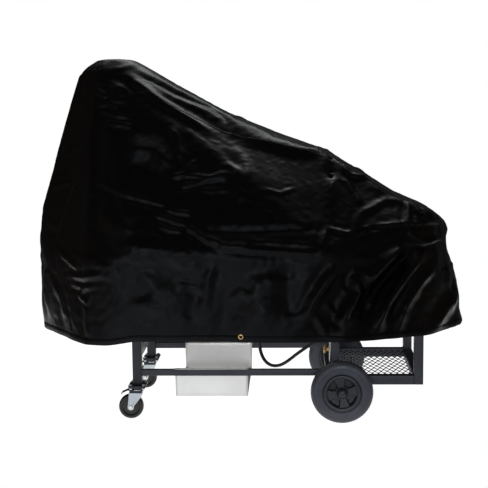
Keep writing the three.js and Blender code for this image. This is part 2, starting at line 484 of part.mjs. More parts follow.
const at = (points, z, k = 1) => points.map(([x, y]) => [490 + (x - 490) * k, 235 + (y - 235) * k, z]);
{
  const tent = [...UPPER, ...at(HIP, 640)];
  const skirt = [...at(HEM, HEM_Z), ...at(HIP, 690, 0.998)];
  const outer = union(hull(tent), hull(skirt));
  const inner = union(hull(inward(tent)), hull(inward([...at(HEM, HEM_Z - 40), ...skirt], true)));
  const shell = outer.subtract(inner);
  const B = 3000;
  const eyelet = solid(rod(13, -400, 0, [452, 0, 385], "y", 16));
  const eyeletBack = solid(rod(13, 500, 800, [452, 0, 385], "y", 16));
  const front = shell.intersect(sbox(-B, B, -B, 99.8, 0, B)).subtract(eyelet);
  const back = shell.intersect(sbox(-B, B, 470.2, B, 0, B)).subtract(eyeletBack);
  const band = shell.intersect(sbox(-B, B, 100.2, 469.8, 0, B));
  add("cover_front_panel", geometryOf(front), vinyl);
  add("cover_back_panel", geometryOf(back), vinyl);
  add("cover_left_band", geometryOf(band.intersect(sbox(-B, -170.2, -B, B, 0, B))), vinyl);
  add("cover_top_band", geometryOf(band.intersect(sbox(-169.8, 1099.8, -B, B, 0, B))), vinyl);
  add("cover_right_band", geometryOf(band.intersect(sbox(1100.2, B, -B, B, 0, B))), vinyl);
}

export default root;
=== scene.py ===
import json
import math
import bmesh
import bpy
import numpy as np
from mathutils import Matrix, Vector, noise
from mathutils.bvhtree import BVHTree

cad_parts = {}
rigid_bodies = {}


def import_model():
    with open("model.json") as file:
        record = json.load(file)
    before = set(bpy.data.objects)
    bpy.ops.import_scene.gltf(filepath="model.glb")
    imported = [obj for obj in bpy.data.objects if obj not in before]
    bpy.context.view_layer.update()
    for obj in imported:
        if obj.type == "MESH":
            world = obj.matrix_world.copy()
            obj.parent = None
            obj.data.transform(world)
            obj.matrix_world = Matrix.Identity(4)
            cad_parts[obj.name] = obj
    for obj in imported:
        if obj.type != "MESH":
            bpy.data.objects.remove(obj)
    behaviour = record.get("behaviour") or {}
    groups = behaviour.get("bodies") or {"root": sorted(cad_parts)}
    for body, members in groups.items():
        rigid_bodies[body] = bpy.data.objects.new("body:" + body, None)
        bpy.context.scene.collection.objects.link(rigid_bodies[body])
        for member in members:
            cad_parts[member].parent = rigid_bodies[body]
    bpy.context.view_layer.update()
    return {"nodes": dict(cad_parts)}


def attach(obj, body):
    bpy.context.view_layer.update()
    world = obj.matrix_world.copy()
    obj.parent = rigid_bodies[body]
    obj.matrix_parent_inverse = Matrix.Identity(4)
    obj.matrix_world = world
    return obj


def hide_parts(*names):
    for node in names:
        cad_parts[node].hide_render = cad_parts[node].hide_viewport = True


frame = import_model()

NODES = frame["nodes"]
SCENE = bpy.context.scene
OX, OY = 0.490, 0.2175  # where the row frame's origin lies in the cart's own frame


def W(x, y, z):
    """A point of the cart's own frame, in millimetres, as a point of the row frame in metres."""
    return Vector((x / 1000 - OX, y / 1000 - OY, z / 1000))


# --------------------------------------------------------------------- camera
YAW, PITCH, ROLL = math.radians(2.378), math.radians(7.806), math.radians(0.63)
CAM_AT = W(669.07, -4925.47, 1402.47)
back = Vector((math.sin(YAW) * math.cos(PITCH), -math.cos(YAW) * math.cos(PITCH), math.sin(PITCH)))
right = Vector((math.cos(YAW), math.sin(YAW), 0))
down = (-back).cross(right)
r2 = math.cos(ROLL) * right + math.sin(ROLL) * down
d2 = -math.sin(ROLL) * right + math.cos(ROLL) * down
cam_data = bpy.data.cameras.new("camera")
cam_data.lens = 90.93
cam_data.sensor_width = 36.0
cam_data.sensor_fit = "HORIZONTAL"
cam_data.clip_end = 100
cam = bpy.data.objects.new("camera", cam_data)
SCENE.collection.objects.link(cam)
cam.matrix_world = Matrix((
    (r2.x, -d2.x, back.x, CAM_AT.x),
    (r2.y, -d2.y, back.y, CAM_AT.y),
    (r2.z, -d2.z, back.z, CAM_AT.z),
    (0, 0, 0, 1)))
SCENE.camera = cam


def ray(px, py):
    """Direction from the camera through a point of the 488 by 488 frame."""
    f = 90.93 / 36.0 * 488
    return (-back + r2 * ((px - 244) / f) + d2 * ((py - 244) / f)).normalized()


# ------------------------------------------------------------------ materials
def new_mat(name):
    m = bpy.data.materials.new(name)
    m.use_nodes = True
    nt = m.node_tree
    for n in list(nt.nodes):
        nt.nodes.remove(n)
    out = nt.nodes.new("ShaderNodeOutputMaterial")
    b = nt.nodes.new("ShaderNodeBsdfPrincipled")
    nt.links.new(b.outputs[0], out.inputs[0])
    return m, nt, b


def N_(nt, kind, **k):
    n = nt.nodes.new(kind)
    for a, v in k.items():
        if a in n.inputs:
            n.inputs[a].default_value = v
        else:
            setattr(n, a, v)
    return n


def coords(nt, scale=(1, 1, 1)):
    t = N_(nt, "ShaderNodeTexCoord")
    m = N_(nt, "ShaderNodeMapping")
    m.inputs["Scale"].default_value = scale
    nt.links.new(t.outputs["Object"], m.inputs[0])
    return m.outputs[0]


def tex_noise(nt, vec, scale, detail=4.0, rough=0.55, dist=0.0):
    n = N_(nt, "ShaderNodeTexNoise")
    n.inputs["Scale"].default_value = scale
    n.inputs["Detail"].default_value = detail
    n.inputs["Roughness"].default_value = rough
    n.inputs["Distortion"].default_value = dist
    nt.links.new(vec, n.inputs["Vector"])
    return n.outputs["Fac"]


def ramp(nt, fac, stops):
    r = N_(nt, "ShaderNodeValToRGB")
    e = r.color_ramp.elements
    while len(e) < len(stops):
        e.new(0.5)
    for el, (p, c) in zip(e, stops):
        el.position = p
        el.color = c if len(c) == 4 else (*c, 1)
    nt.links.new(fac, r.inputs[0])
    return r.outputs[0]


def maprange(nt, fac, a, b, c, d):
    m = N_(nt, "ShaderNodeMapRange")
    for i, v in enumerate((a, b, c, d)):
        m.inputs[i + 1].default_value = v
    nt.links.new(fac, m.inputs[0])
    return m.outputs[0]


def bump(nt, b, height, strength, distance, prev=None):
    n = N_(nt, "ShaderNodeBump")
    n.inputs["Strength"].default_value = strength
    n.inputs["Distance"].default_value = distance
    nt.links.new(height, n.inputs["Height"])
    if prev is not None:
        nt.links.new(prev, n.inputs["Normal"])
    nt.links.new(n.outputs[0], b.inputs["Normal"])
    return n.outputs[0]


def tone(c, k):
    return tuple(max(0.0, min(1.0, v * k)) for v in c)


def finish_mat(name, base, metal, rough, mottle=(6, 0.85, 1.15), rough_span=0.08, fine=900, fine_h=0.00004, stretch=(1, 1, 1), coat=0.0, coat_rough=0.1, spec=0.5, wave=0.0, wave_scale=9, dust=0.0):
    """Principled surface with mottled colour and roughness, a fine grain and, where asked, a slow waviness and dust on what faces up."""
    m, nt, b = new_mat(name)
    vec = coords(nt, stretch)
    flat = coords(nt)
    big = tex_noise(nt, flat, mottle[0], 5, 0.6)
    col = ramp(nt, big, [(0.25, tone(base, mottle[1])), (0.75, tone(base, mottle[2]))])
    if dust:
        geo = N_(nt, "ShaderNodeNewGeometry")
        sep = N_(nt, "ShaderNodeSeparateXYZ")
        nt.links.new(geo.outputs["Normal"], sep.inputs[0])
        up = maprange(nt, sep.outputs["Z"], 0.2, 1.0, 0.0, dust)
        speck = tex_noise(nt, flat, 60, 6, 0.7)
        mul = N_(nt, "ShaderNodeMath", operation="MULTIPLY")
        nt.links.new(up, mul.inputs[0])
        nt.links.new(speck, mul.inputs[1])
        mix = N_(nt, "ShaderNodeMixRGB")
        mix.inputs[2].default_value = (0.35, 0.33, 0.30, 1)
        nt.links.new(mul.outputs[0], mix.inputs[0])
        nt.links.new(col, mix.inputs[1])
        col = mix.outputs[0]
    nt.links.new(col, b.inputs["Base Color"])
    grain = tex_noise(nt, vec, fine, 3, 0.6)
    mid = tex_noise(nt, flat, 35, 4, 0.6)
    nt.links.new(maprange(nt, mid, 0.3, 0.7, rough - rough_span, rough + rough_span), b.inputs["Roughness"])
    b.inputs["Metallic"].default_value = metal
    b.inputs["Coat Weight"].default_value = coat
    b.inputs["Coat Roughness"].default_value = coat_rough
    b.inputs["Specular IOR Level"].default_value = spec
    prev = bump(nt, b, grain, 0.5, fine_h)
    if wave:
        slow = tex_noise(nt, flat, wave_scale, 2, 0.4)
        bump(nt, b, slow, 1.0, wave, prev)
    return m


M = {}
M["frame_paint"] = finish_mat("powder_coat", (0.030, 0.0315, 0.040), 0.0, 0.42, (9, 0.85, 1.2), 0.07, 700, 0.00006, coat=0.08, coat_rough=0.3, spec=0.35, dust=0.12)
M["zinc_plate"] = finish_mat("zinc_plate", (0.58, 0.62, 0.645), 1.0, 0.33, (45, 0.86, 1.06), 0.05, 220, 0.000005)
M["stainless"] = finish_mat("brushed_stainless", (0.63, 0.615, 0.585), 1.0, 0.32, (4, 0.93, 1.06), 0.04, 120, 0.000004, stretch=(1, 1, 9), wave=0.0012, wave_scale=3.2)
M["pan_steel"] = finish_mat("pan_steel", (0.58, 0.57, 0.555), 0.40, 0.46, (5, 0.92, 1.06), 0.05, 120, 0.000004, stretch=(1, 1, 9), wave=0.002, wave_scale=3.2)
M["heat_black"] = finish_mat("heat_black", (0.020, 0.020, 0.021), 0.1, 0.66, (12, 0.7, 1.6), 0.1, 500, 0.00012, dust=0.2)
M["brass"] = finish_mat("turned_brass", (0.78, 0.53, 0.20), 1.0, 0.24, (80, 0.75, 1.1), 0.07, 600, 0.00002, stretch=(6, 1, 1))
M["tyre_rubber"] = finish_mat("tyre_rubber", (0.034, 0.0365, 0.047), 0.0, 0.52, (18, 0.75, 1.3), 0.09, 500, 0.0001, dust=0.18)
M["rim_plastic"] = finish_mat("moulded_rim", (0.016, 0.017, 0.021), 0.0, 0.42, (20, 0.8, 1.3), 0.07, 900, 0.00006)
M["hose_rubber"] = finish_mat("hose_rubber", (0.011, 0.011, 0.012), 0.0, 0.40, (30, 0.8, 1.3), 0.06, 800, 0.00005)
M["race_steel"] = finish_mat("race_steel", (0.75, 0.77, 0.78), 1.0, 0.16, (60, 0.85, 1.08), 0.05, 400, 0.00002)
M["dark_sheet"] = finish_mat("black_zinc", (0.035, 0.037, 0.042), 0.6, 0.38, (30, 0.8, 1.2), 0.08, 500, 0.00005)


def vinyl_material(name="cover_vinyl", base=(0.0016, 0.0016, 0.0018), rough=0.37):
    m, nt, b = new_mat(name)
    v = coords(nt)
    big = tex_noise(nt, v, 3.1, 5, 0.6)
    col = ramp(nt, big, [(0.3, tone(base, 0.7)), (0.7, tone(base, 1.6))])
    nt.links.new(col, b.inputs["Base Color"])
    mid = tex_noise(nt, v, 16, 5, 0.65)
    nt.links.new(maprange(nt, mid, 0.25, 0.75, rough - 0.08, rough + 0.10), b.inputs["Roughness"])
    b.inputs["Specular IOR Level"].default_value = 0.19
    # leather grain pressed into the film
    vor = N_(nt, "ShaderNodeTexVoronoi", feature="DISTANCE_TO_EDGE")
    vor.inputs["Scale"].default_value = 620
    nt.links.new(v, vor.inputs["Vector"])
    g = maprange(nt, vor.outputs["Distance"], 0.0, 0.12, 0.0, 1.0)
    p1 = bump(nt, b, g, 0.30, 0.00005)
    # small buckles and handling creases
    cre = tex_noise(nt, v, 20, 3, 0.5, 0.6)
    p2 = bump(nt, b, cre, 0.35, 0.0022, p1)
    slow = tex_noise(nt, v, 6.5, 2, 0.45, 0.3)
    bump(nt, b, slow, 0.6, 0.009, p2)
    return m


M["cover_vinyl"] = vinyl_material()
M["binding"] = finish_mat("cover_binding", (0.0022, 0.0022, 0.0026), 0.0, 0.50, (40, 0.8, 1.4), 0.06, 1200, 0.00012, spec=0.22)
M["lining"] = finish_mat("cover_lining", (0.020, 0.020, 0.021), 0.0, 0.86, (30, 0.8, 1.25), 0.05, 1500, 0.00022, spec=0.2)
M["thread"] = finish_mat("cover_thread", (0.005, 0.005, 0.0055), 0.0, 0.7, (80, 0.8, 1.3), 0.05, 2500, 0.00008, spec=0.2)


# -------------------------------------------------------------------- helpers
def obj_from(name, verts, faces, mat, body, replaces=(), smooth=True, angle=35):
    me = bpy.data.meshes.new(name)
    me.from_pydata([tuple(v) for v in verts], [], faces)
    me.validate()
    return put(name, me, mat, body, replaces, smooth, angle)


def put(name, me, mat, body, replaces=(), smooth=True, angle=35):
    ob = bpy.data.objects.new(name, me)
    SCENE.collection.objects.link(ob)
    me.materials.clear()
    me.materials.append(M[mat])
    if smooth:
        for p in me.polygons:
            p.use_smooth = True
        sharp_by_angle(me, angle)
    if body:
        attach(ob, body)
    if replaces:
        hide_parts(*replaces)
    return ob


def sharp_by_angle(me, angle):
    bm = bmesh.new()
    bm.from_mesh(me)
    bm.normal_update()
    for e in bm.edges:
        if len(e.link_faces) == 2:
            e.smooth = e.calc_face_angle(0) < math.radians(angle)
    bm.to_mesh(me)
    bm.free()


def lathe(name, profile, centre, axis, mat, body, segs=72, replaces=(), angle=35, closed=False):
    """Solid of revolution. profile is [(radius, along)] in mm, centre in cart mm."""
    c = W(*centre)
    verts, faces = [], []
    n = len(profile)
    for r, h in profile:
        for i in range(segs):
            a = 2 * math.pi * i / segs
            u, v, w = r / 1000 * math.cos(a), r / 1000 * math.sin(a), h / 1000
            p = {"x": (w, u, v), "y": (v, w, u), "z": (u, v, w)}[axis]
            verts.append(c + Vector(p))
    last = n if closed else n - 1
    for j in range(last):
        k = (j + 1) % n
        for i in range(segs):
            i2 = (i + 1) % segs
            faces.append((j * segs + i, j * segs + i2, k * segs + i2, k * segs + i))
    me = bpy.data.meshes.new(name)
    me.from_pydata([tuple(v) for v in verts], [], faces)
    bm = bmesh.new()
    bm.from_mesh(me)
    bmesh.ops.remove_doubles(bm, verts=bm.verts, dist=1e-6)
    bmesh.ops.recalc_face_normals(bm, faces=bm.faces)
    bm.to_mesh(me)
    bm.free()
    return put(name, me, mat, body, replaces, True, angle)


def refine(node, mat, body, bevel=1.0, segs=2, name=None, angle=28):
    """The CAD node's own shape with its edges broken and its flat faces merged."""
    src = NODES[node].data
    bm = bmesh.new()
    bm.from_mesh(src)
    bmesh.ops.remove_doubles(bm, verts=bm.verts, dist=2e-6)
    bmesh.ops.dissolve_limit(bm, angle_limit=math.radians(1.0), verts=bm.verts, edges=bm.edges, delimit=set())
    bm.normal_update()
    sharp = [e for e in bm.edges if len(e.link_faces) == 2 and e.calc_face_angle(0) > math.radians(angle)]
    if bevel and sharp:
        bmesh.ops.bevel(bm, geom=sharp, offset=bevel / 1000, segments=segs, profile=0.5, affect="EDGES", clamp_overlap=True)
    me = bpy.data.meshes.new((name or node) + "_fine")
    bm.to_mesh(me)
    bm.free()
    return put(name or node + "_fine", me, mat, body, (node,), True, 50)


def rod_curve(name, points, radius, mat, body, replaces=(), res=12, cyclic=False, smooth_pts=True):
    """Round bar along cart-frame points in mm, as a mesh with closed ends."""
    cu = bpy.data.curves.new(name, "CURVE")
    cu.dimensions = "3D"
    cu.bevel_depth = radius / 1000
    cu.bevel_resolution = 6
    cu.use_fill_caps = True
    cu.resolution_u = res
    sp = cu.splines.new("NURBS" if smooth_pts else "POLY")
    sp.points.add(len(points) - 1)
    for p, q in zip(sp.points, points):
        p.co = (*W(*q), 1)
    sp.use_endpoint_u = True
    sp.order_u = 3
    sp.use_cyclic_u = cyclic
    tmp = bpy.data.objects.new(name + "_tmp", cu)
    SCENE.collection.objects.link(tmp)
    bpy.context.view_layer.update()
    me = bpy.data.meshes.new_from_object(tmp.evaluated_get(bpy.context.evaluated_depsgraph_get()))
    bpy.data.objects.remove(tmp)
    me.name = name
    return put(name, me, mat, body, replaces, True, 50)


def rounded_loop(a, b, r, n=5):
    """Rounded rectangle from (0,0) to (a,b), counter-clockwise."""
    pts = []
    for cx, cy, s in ((a - r, r, -90), (a - r, b - r, 0), (r, b - r, 90), (r, r, 180)):
        for i in range(n + 1):
            t = math.radians(s + 90 * i / n)
            pts.append((cx + r * math.cos(t), cy + r * math.sin(t)))
    return pts


def square_tube(name, x0, x1, y0, y1, z0, z1, axis, body="cart", mat="frame_paint", replaces=(), r=3.2, wall=2.4, inset=0.0):
    """Hollow square tube with rounded corners, its ends open, in cart mm."""
    a, b, length = {"x": (y1 - y0, z1 - z0, x1 - x0), "y": (z1 - z0, x1 - x0, y1 - y0), "z": (x1 - x0, y1 - y0, z1 - z0)}[axis]
    outer = rounded_loop(a, b, r)
    inner = [(wall + u, wall + v) for u, v in rounded_loop(a - 2 * wall, b - 2 * wall, max(0.6, r - wall + 0.4))]
    n = len(outer)
    rings = [(outer, 0.0), (outer, length), (inner, length), (inner, 0.0)]
    verts = []
    for loop, h in rings:
        for u, v in loop:
            p = {"x": (x0 + h, y0 + u, z0 + v), "y": (x0 + v, y0 + h, z0 + u), "z": (x0 + u, y0 + v, z0 + h)}[axis]
            verts.append(W(*p))
    faces = []
    for j in range(4):
        k = (j + 1) % 4
        for i in range(n):
            i2 = (i + 1) % n
            faces.append((j * n + i, j * n + i2, k * n + i2, k * n + i))
    me = bpy.data.meshes.new(name)
    me.from_pydata([tuple(v) for v in verts], [], faces)
    bm = bmesh.new()
    bm.from_mesh(me)
    bmesh.ops.recalc_face_normals(bm, faces=bm.faces)
    bm.to_mesh(me)
    bm.free()
    return put(name, me, mat, body, replaces, True, 40)


def weld_bead(name, points, body="cart", r=2.1, seed=1.0):
    """A laid weld: a low, rippled bead along cart-frame points in mm."""
    pts = [W(*p) for p in points]
    verts, faces = [], []
    seg = 8
    total = sum((pts[i + 1] - pts[i]).length for i in range(len(pts) - 1))
    steps = max(6, int(total / 0.0022))
    line = []
    for s in range(steps + 1):
        d = total * s / steps
        for i in range(len(pts) - 1):
            L = (pts[i + 1] - pts[i]).length
            if d <= L or i == len(pts) - 2:
                line.append((pts[i].lerp(pts[i + 1], min(1, d / L)), (pts[i + 1] - pts[i]).normalized()))
                break
            d -= L
    for s, (c, t) in enumerate(line):
        side = t.cross(Vector((0, 0, 1)))
        if side.length < 0.1:
            side = t.cross(Vector((0, 1, 0)))
        side.normalize()
        up = side.cross(t).normalized()
        rr = r / 1000 * (0.82 + 0.18 * math.sin(s * 1.9) + 0.12 * noise.noise(Vector((s * 0.31, seed, 0))))
        if s in (0, len(line) - 1):
            rr *= 0.25
        for i in range(seg):
            a = 2 * math.pi * i / seg
            verts.append(c + side * rr * math.cos(a) + up * rr * math.sin(a))
    for s in range(len(line) - 1):
        for i in range(seg):
            i2 = (i + 1) % seg
            faces.append((s * seg + i, s * seg + i2, (s + 1) * seg + i2, (s + 1) * seg + i))
    faces.append(tuple(range(seg - 1, -1, -1)))
    faces.append(tuple((len(line) - 1) * seg + i for i in range(seg)))
    return obj_from(name, verts, faces, "frame_paint", body)


def hex_bolt(name, at, axis, size, body, mat="zinc_plate", head=5.5, washer=True):
    """Hexagon head on a washer, standing out of a face along axis ('+x', '-y' ...), in cart mm."""
    sign = -1 if axis[0] == "-" else 1
    ax = axis[1]
    prof = [(0, 0)]
    if washer:
        prof += [(size * 1.15, 0), (size * 1.15, 1.2), (size * 0.9, 1.4)]
    c = W(*at)
    verts, faces = [], []
    rings = []
    segs = 24
    def ring(rf, h):
        base = len(verts)
        for i in range(segs):
            a = 2 * math.pi * i / segs
            r = rf(a) / 1000
            u, v, w = r * math.cos(a), r * math.sin(a), sign * h / 1000
            p = {"x": (w, u, v), "y": (v, w, u), "z": (u, v, w)}[ax]
            verts.append(c + Vector(p))
        rings.append(base)
    circ = lambda rr: (lambda a: rr)
    hexa = lambda rr: (lambda a: rr / max(0.87, math.cos(((a + math.pi / 6) % (math.pi / 3)) - math.pi / 6)) * 0.87)
    h0 = 0.0
    if washer:
        ring(circ(size * 1.2), 0)
        ring(circ(size * 1.2), 1.1)
        h0 = 1.1
    ring(hexa(size), h0)
    ring(hexa(size), h0 + head * 0.82)
    ring(hexa(size * 0.9), h0 + head)
    ring(circ(size * 0.45), h0 + head)
    for j in range(len(rings) - 1):
        for i in range(segs):
            i2 = (i + 1) % segs
            faces.append((rings[j] + i, rings[j] + i2, rings[j + 1] + i2, rings[j + 1] + i))
    faces.append(tuple(rings[-1] + i for i in range(segs)))
    faces.append(tuple(rings[0] + i for i in reversed(range(segs))))
    ob = obj_from(name, verts, faces, mat, body, (), True, 30)
    bm = bmesh.new()
    bm.from_mesh(ob.data)
    bmesh.ops.recalc_face_normals(bm, faces=bm.faces)
    bm.to_mesh(ob.data)
    bm.free()
    return ob


# -------------------------------------------------------------- the gas hose
HOSE = [
    (517, 150, 424), (517, 150, 396), (517, 150, 360), (517, 150, 320), (518, 150, 284), (524, 150, 246), (540, 150, 210),
    (569, 150, 188), (606, 150, 190), (640, 150, 210), (672, 150, 236), (706, 150, 260), (740, 150, 284), (774, 150, 308),
    (806, 150, 332), (834, 150, 353), (858, 150, 371)]


def catmull(pts, per=6):
    out = []
    p = [Vector(q) for q in pts]
    p = [2 * p[0] - p[1]] + p + [2 * p[-1] - p[-2]]
    for i in range(1, len(p) - 2):
        for s in range(per):
            t = s / per
            a, b, c, d = p[i - 1], p[i], p[i + 1], p[i + 2]
            out.append(0.5 * ((2 * b) + (c - a) * t + (2 * a - 5 * b + 4 * c - d) * t * t + (3 * b - a - 3 * c + d) * t ** 3))
    out.append(p[-2])
    return out


hose_line = catmull(HOSE, 3)
for _ in range(2):
    hose_line = [hose_line[0]] + [(hose_line[i - 1] + 2 * hose_line[i] + hose_line[i + 1]) / 4 for i in range(1, len(hose_line) - 1)] + [hose_line[-1]]
cu = bpy.data.curves.new("gas_hose_curve", "CURVE")
cu.dimensions = "3D"
cu.bevel_depth = 0.007
cu.bevel_resolution = 8
cu.use_fill_caps = True
cu.resolution_u = 1
sp = cu.splines.new("POLY")
sp.points.add(len(hose_line) - 1)
for q, h in zip(sp.points, hose_line):
    q.co = (*W(*h), 1)
hose = bpy.data.objects.new("gas_hose_line", cu)
SCENE.collection.objects.link(hose)
cu.materials.append(M["hose_rubber"])
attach(hose, "cart")
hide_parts("gas_hose")

# ------------------------------------------------------------------ the cart
LEG, RAIL, MID, MID_T = 38.1, 25.4, 816, 32
for side, y0 in (("near", 0.0), ("far", 542 - LEG)):
    leg = square_tube(side + "_leg_tube", 0, LEG, y0, y0 + LEG, 144, 445, "z", replaces=(side + "_caster_leg",))
    cyl = y0 + LEG / 2
    plate = [(x, y) for x, y in rounded_loop(72, 92, 7, 6)]
    n = len(plate)
    verts, faces = [], []
    for z, k in ((138, 0.4), (138.4, 0), (143.6, 0), (144, 0.4)):
        for u, v in plate:
            verts.append(W(LEG / 2 - 36 + u + (k if u < 36 else -k), cyl - 46 + v + (k if v < 46 else -k), z))
    for j in range(3):
        for i in range(n):
            faces.append((j * n + i, j * n + (i + 1) % n, (j + 1) * n + (i + 1) % n, (j + 1) * n + i))
    faces.append(tuple(reversed(range(n))))
    faces.append(tuple(3 * n + i for i in range(n)))
    obj_from(side + "_foot_plate", verts, faces, "frame_paint", "cart")
    for i, (bx, by) in enumerate(((-26, -36), (26, -36), (-26, 36), (26, 36))):
        hex_bolt(f"{side}_plate_bolt_{i}", (LEG / 2 + bx, cyl + by, 144), "+z", 6.2, "cart", head=5)
        hex_bolt(f"{side}_plate_nut_{i}", (LEG / 2 + bx, cyl + by, 133.7), "-z", 6.2, "cart", head=5.5, washer=False)
    for k, (xa, ya, xb, yb) in enumerate(((0, y0, LEG, y0), (LEG, y0, LEG, y0 + LEG), (LEG, y0 + LEG, 0, y0 + LEG), (0, y0 + LEG, 0, y0))):
        weld_bead(f"{side}_foot_weld_{k}", [(xa, ya, 144.6), (xb, yb, 144.6)], seed=k + 3.1)
    square_tube(side + "_post_tube", 1190 - LEG, 1190, y0, y0 + LEG, 144, 445, "z", replaces=(side + "_end_post",))
    m0 = 0 if side == "near" else 542 - MID_T
    square_tube(side + "_mid_tube", MID, MID + MID_T, m0, m0 + MID_T, 181.9, 445, "z", replaces=(side + "_middle_post",), r=2.8)
    r0 = 0 if side == "near" else 542 - RAIL
    square_tube(side + "_low_rail_tube", LEG + 0.3, MID - 0.3, r0, r0 + RAIL, 181.5, 206.9, "x", replaces=(side + "_lower_rail",), r=2.6)
    square_tube(side + "_shelf_rail_tube", MID - 20, 1190 - LEG - 0.3, y0, y0 + LEG, 181.5 - LEG, 181.5, "x", replaces=(side + "_shelf_rail",))
    yo = y0 if side == "near" else y0 + LEG
    weld_bead(side + "_rail_weld_a", [(LEG + 0.2, yo, 182.5), (LEG + 0.2, yo, 206)], seed=1.7)
    weld_bead(side + "_rail_weld_b", [(LEG + 0.2, r0 + 1, 207.1), (LEG + 0.2, r0 + RAIL - 1, 207.1)], seed=2.2)
    weld_bead(side + "_rail_weld_c", [(MID - 0.2, yo, 183), (MID - 0.2, yo, 206)], seed=2.7)
    weld_bead(side + "_rail_weld_d", [(MID - 0.2, r0 + 1, 207.1), (MID - 0.2, r0 + RAIL - 1, 207.1)], seed=4.2)
    weld_bead(side + "_post_weld_a", [(1190 - LEG, yo, 146), (1190 - LEG, yo, 180)], seed=3.7)
    weld_bead(side + "_post_weld_b", [(1190 - LEG, y0 + 2, 181.8), (1190 - LEG, y0 + LEG - 2, 181.8)], seed=5.1)
    weld_bead(side + "_mid_weld_a", [(MID, m0, 181.8), (MID + MID_T, m0, 181.8)], seed=6.1)
square_tube("caster_end_tube", 6, 31, LEG + 0.3, 542 - LEG - 0.3, 246, 296, "y", replaces=("caster_end_rail",), r=2.6)
square_tube("end_shelf_tube", 1190 - LEG, 1190, LEG + 0.3, 542 - LEG - 0.3, 181.5 - LEG, 181.5, "y", replaces=("end_shelf_rail",))
square_tube("inner_shelf_tube", MID - 20, MID - 20 + RAIL, LEG + 0.3, 542 - LEG - 0.3, 181.5 - RAIL, 181.5, "y", replaces=("inner_shelf_rail",), r=2.6)


def expanded_metal():
    """Flattened expanded metal: zigzag strands that meet at wide knuckles."""
    x0, x1, y0, y1, z = MID - 20 + RAIL + 0.8, 1190 - LEG - 0.8, LEG + 0.8, 542 - LEG - 0.8, 174.7
    swd, lwd, strand, t = 25.4, 63.5, 3.4, 2.4
    verts, faces = [], []
    cols = int(math.ceil((x1 - x0) / swd)) + 1
    rows = int(math.ceil((y1 - y0) / lwd)) + 1
    per = 14
    for c in range(-1, cols + 1):
        for mirror in (0, 1):
            # strands run along Y, zigzagging between neighbouring knuckle columns
            start = len(verts)
            count = 0
            for s in range(rows * per * 2 + 1):
                y = y0 + s * lwd / (per * 2)
                if y > y1 + 0.01:
                    break
                u = (s / (per * 2.0) + 0.5 * 0) % 1.0
                tri = abs(((u * 2) % 2) - 1)
                # flatten the tips into knuckles
                k = min(1, max(0, (tri - 0.12) / 0.76))
                off = (k - 0.5) * (swd / 2 - strand * 0.2)
                x = x0 + c * swd + (off if mirror else -off) + swd * 0.25 + (swd * 0.5 if mirror else 0.0)
                w = strand * 0.5
                zz = z + (0.9 if mirror else -0.2) * (1 - abs(2 * k - 1)) * 0.5
                for dx, dz in ((-w, -t / 2), (w, -t / 2), (w, t / 2), (-w, t / 2)):
                    xx = min(max(x + dx, x0), x1)
                    verts.append(W(xx, y, zz + dz))
                count += 1
            for s in range(count - 1):
                b = start + s * 4
                for i in range(4):
                    faces.append((b + i, b + (i + 1) % 4, b + 4 + (i + 1) % 4, b + 4 + i))
            faces.append((start + 3, start + 2, start + 1, start))
            e = start + (count - 1) * 4
            faces.append((e, e + 1, e + 2, e + 3))
    me = bpy.data.meshes.new("log_shelf_strands")
    me.from_pydata([tuple(v) for v in verts], [], faces)
    bm = bmesh.new()
    bm.from_mesh(me)
    lo, hi = W(x0, y0, 0), W(x1, y1, 0)
    gone = [f for f in bm.faces if f.calc_area() < 1e-9]
    bmesh.ops.delete(bm, geom=gone, context="FACES")
    loose = [v for v in bm.verts if not v.link_faces]
    bmesh.ops.delete(bm, geom=loose, context="VERTS")
    bmesh.ops.recalc_face_normals(bm, faces=bm.faces)
    bm.to_mesh(me)
    bm.free()
    return put("log_shelf_strands", me, "frame_paint", "cart", ("log_shelf_mesh",), True, 40)


expanded_metal()

# Axle, brackets, main wheels
AX, AZ, WR = 857, 127, 127
lathe("axle_bar", [(0, -90), (7.5, -90), (9.5, -88), (9.5, 630), (7.5, 632), (0, 632)], (AX, 0, AZ), "y", "zinc_plate", "cart", 40, ("axle",))
for side in ("near", "far"):
    refine(side + "_axle_bracket", "frame_paint", "cart", 1.2, 2)


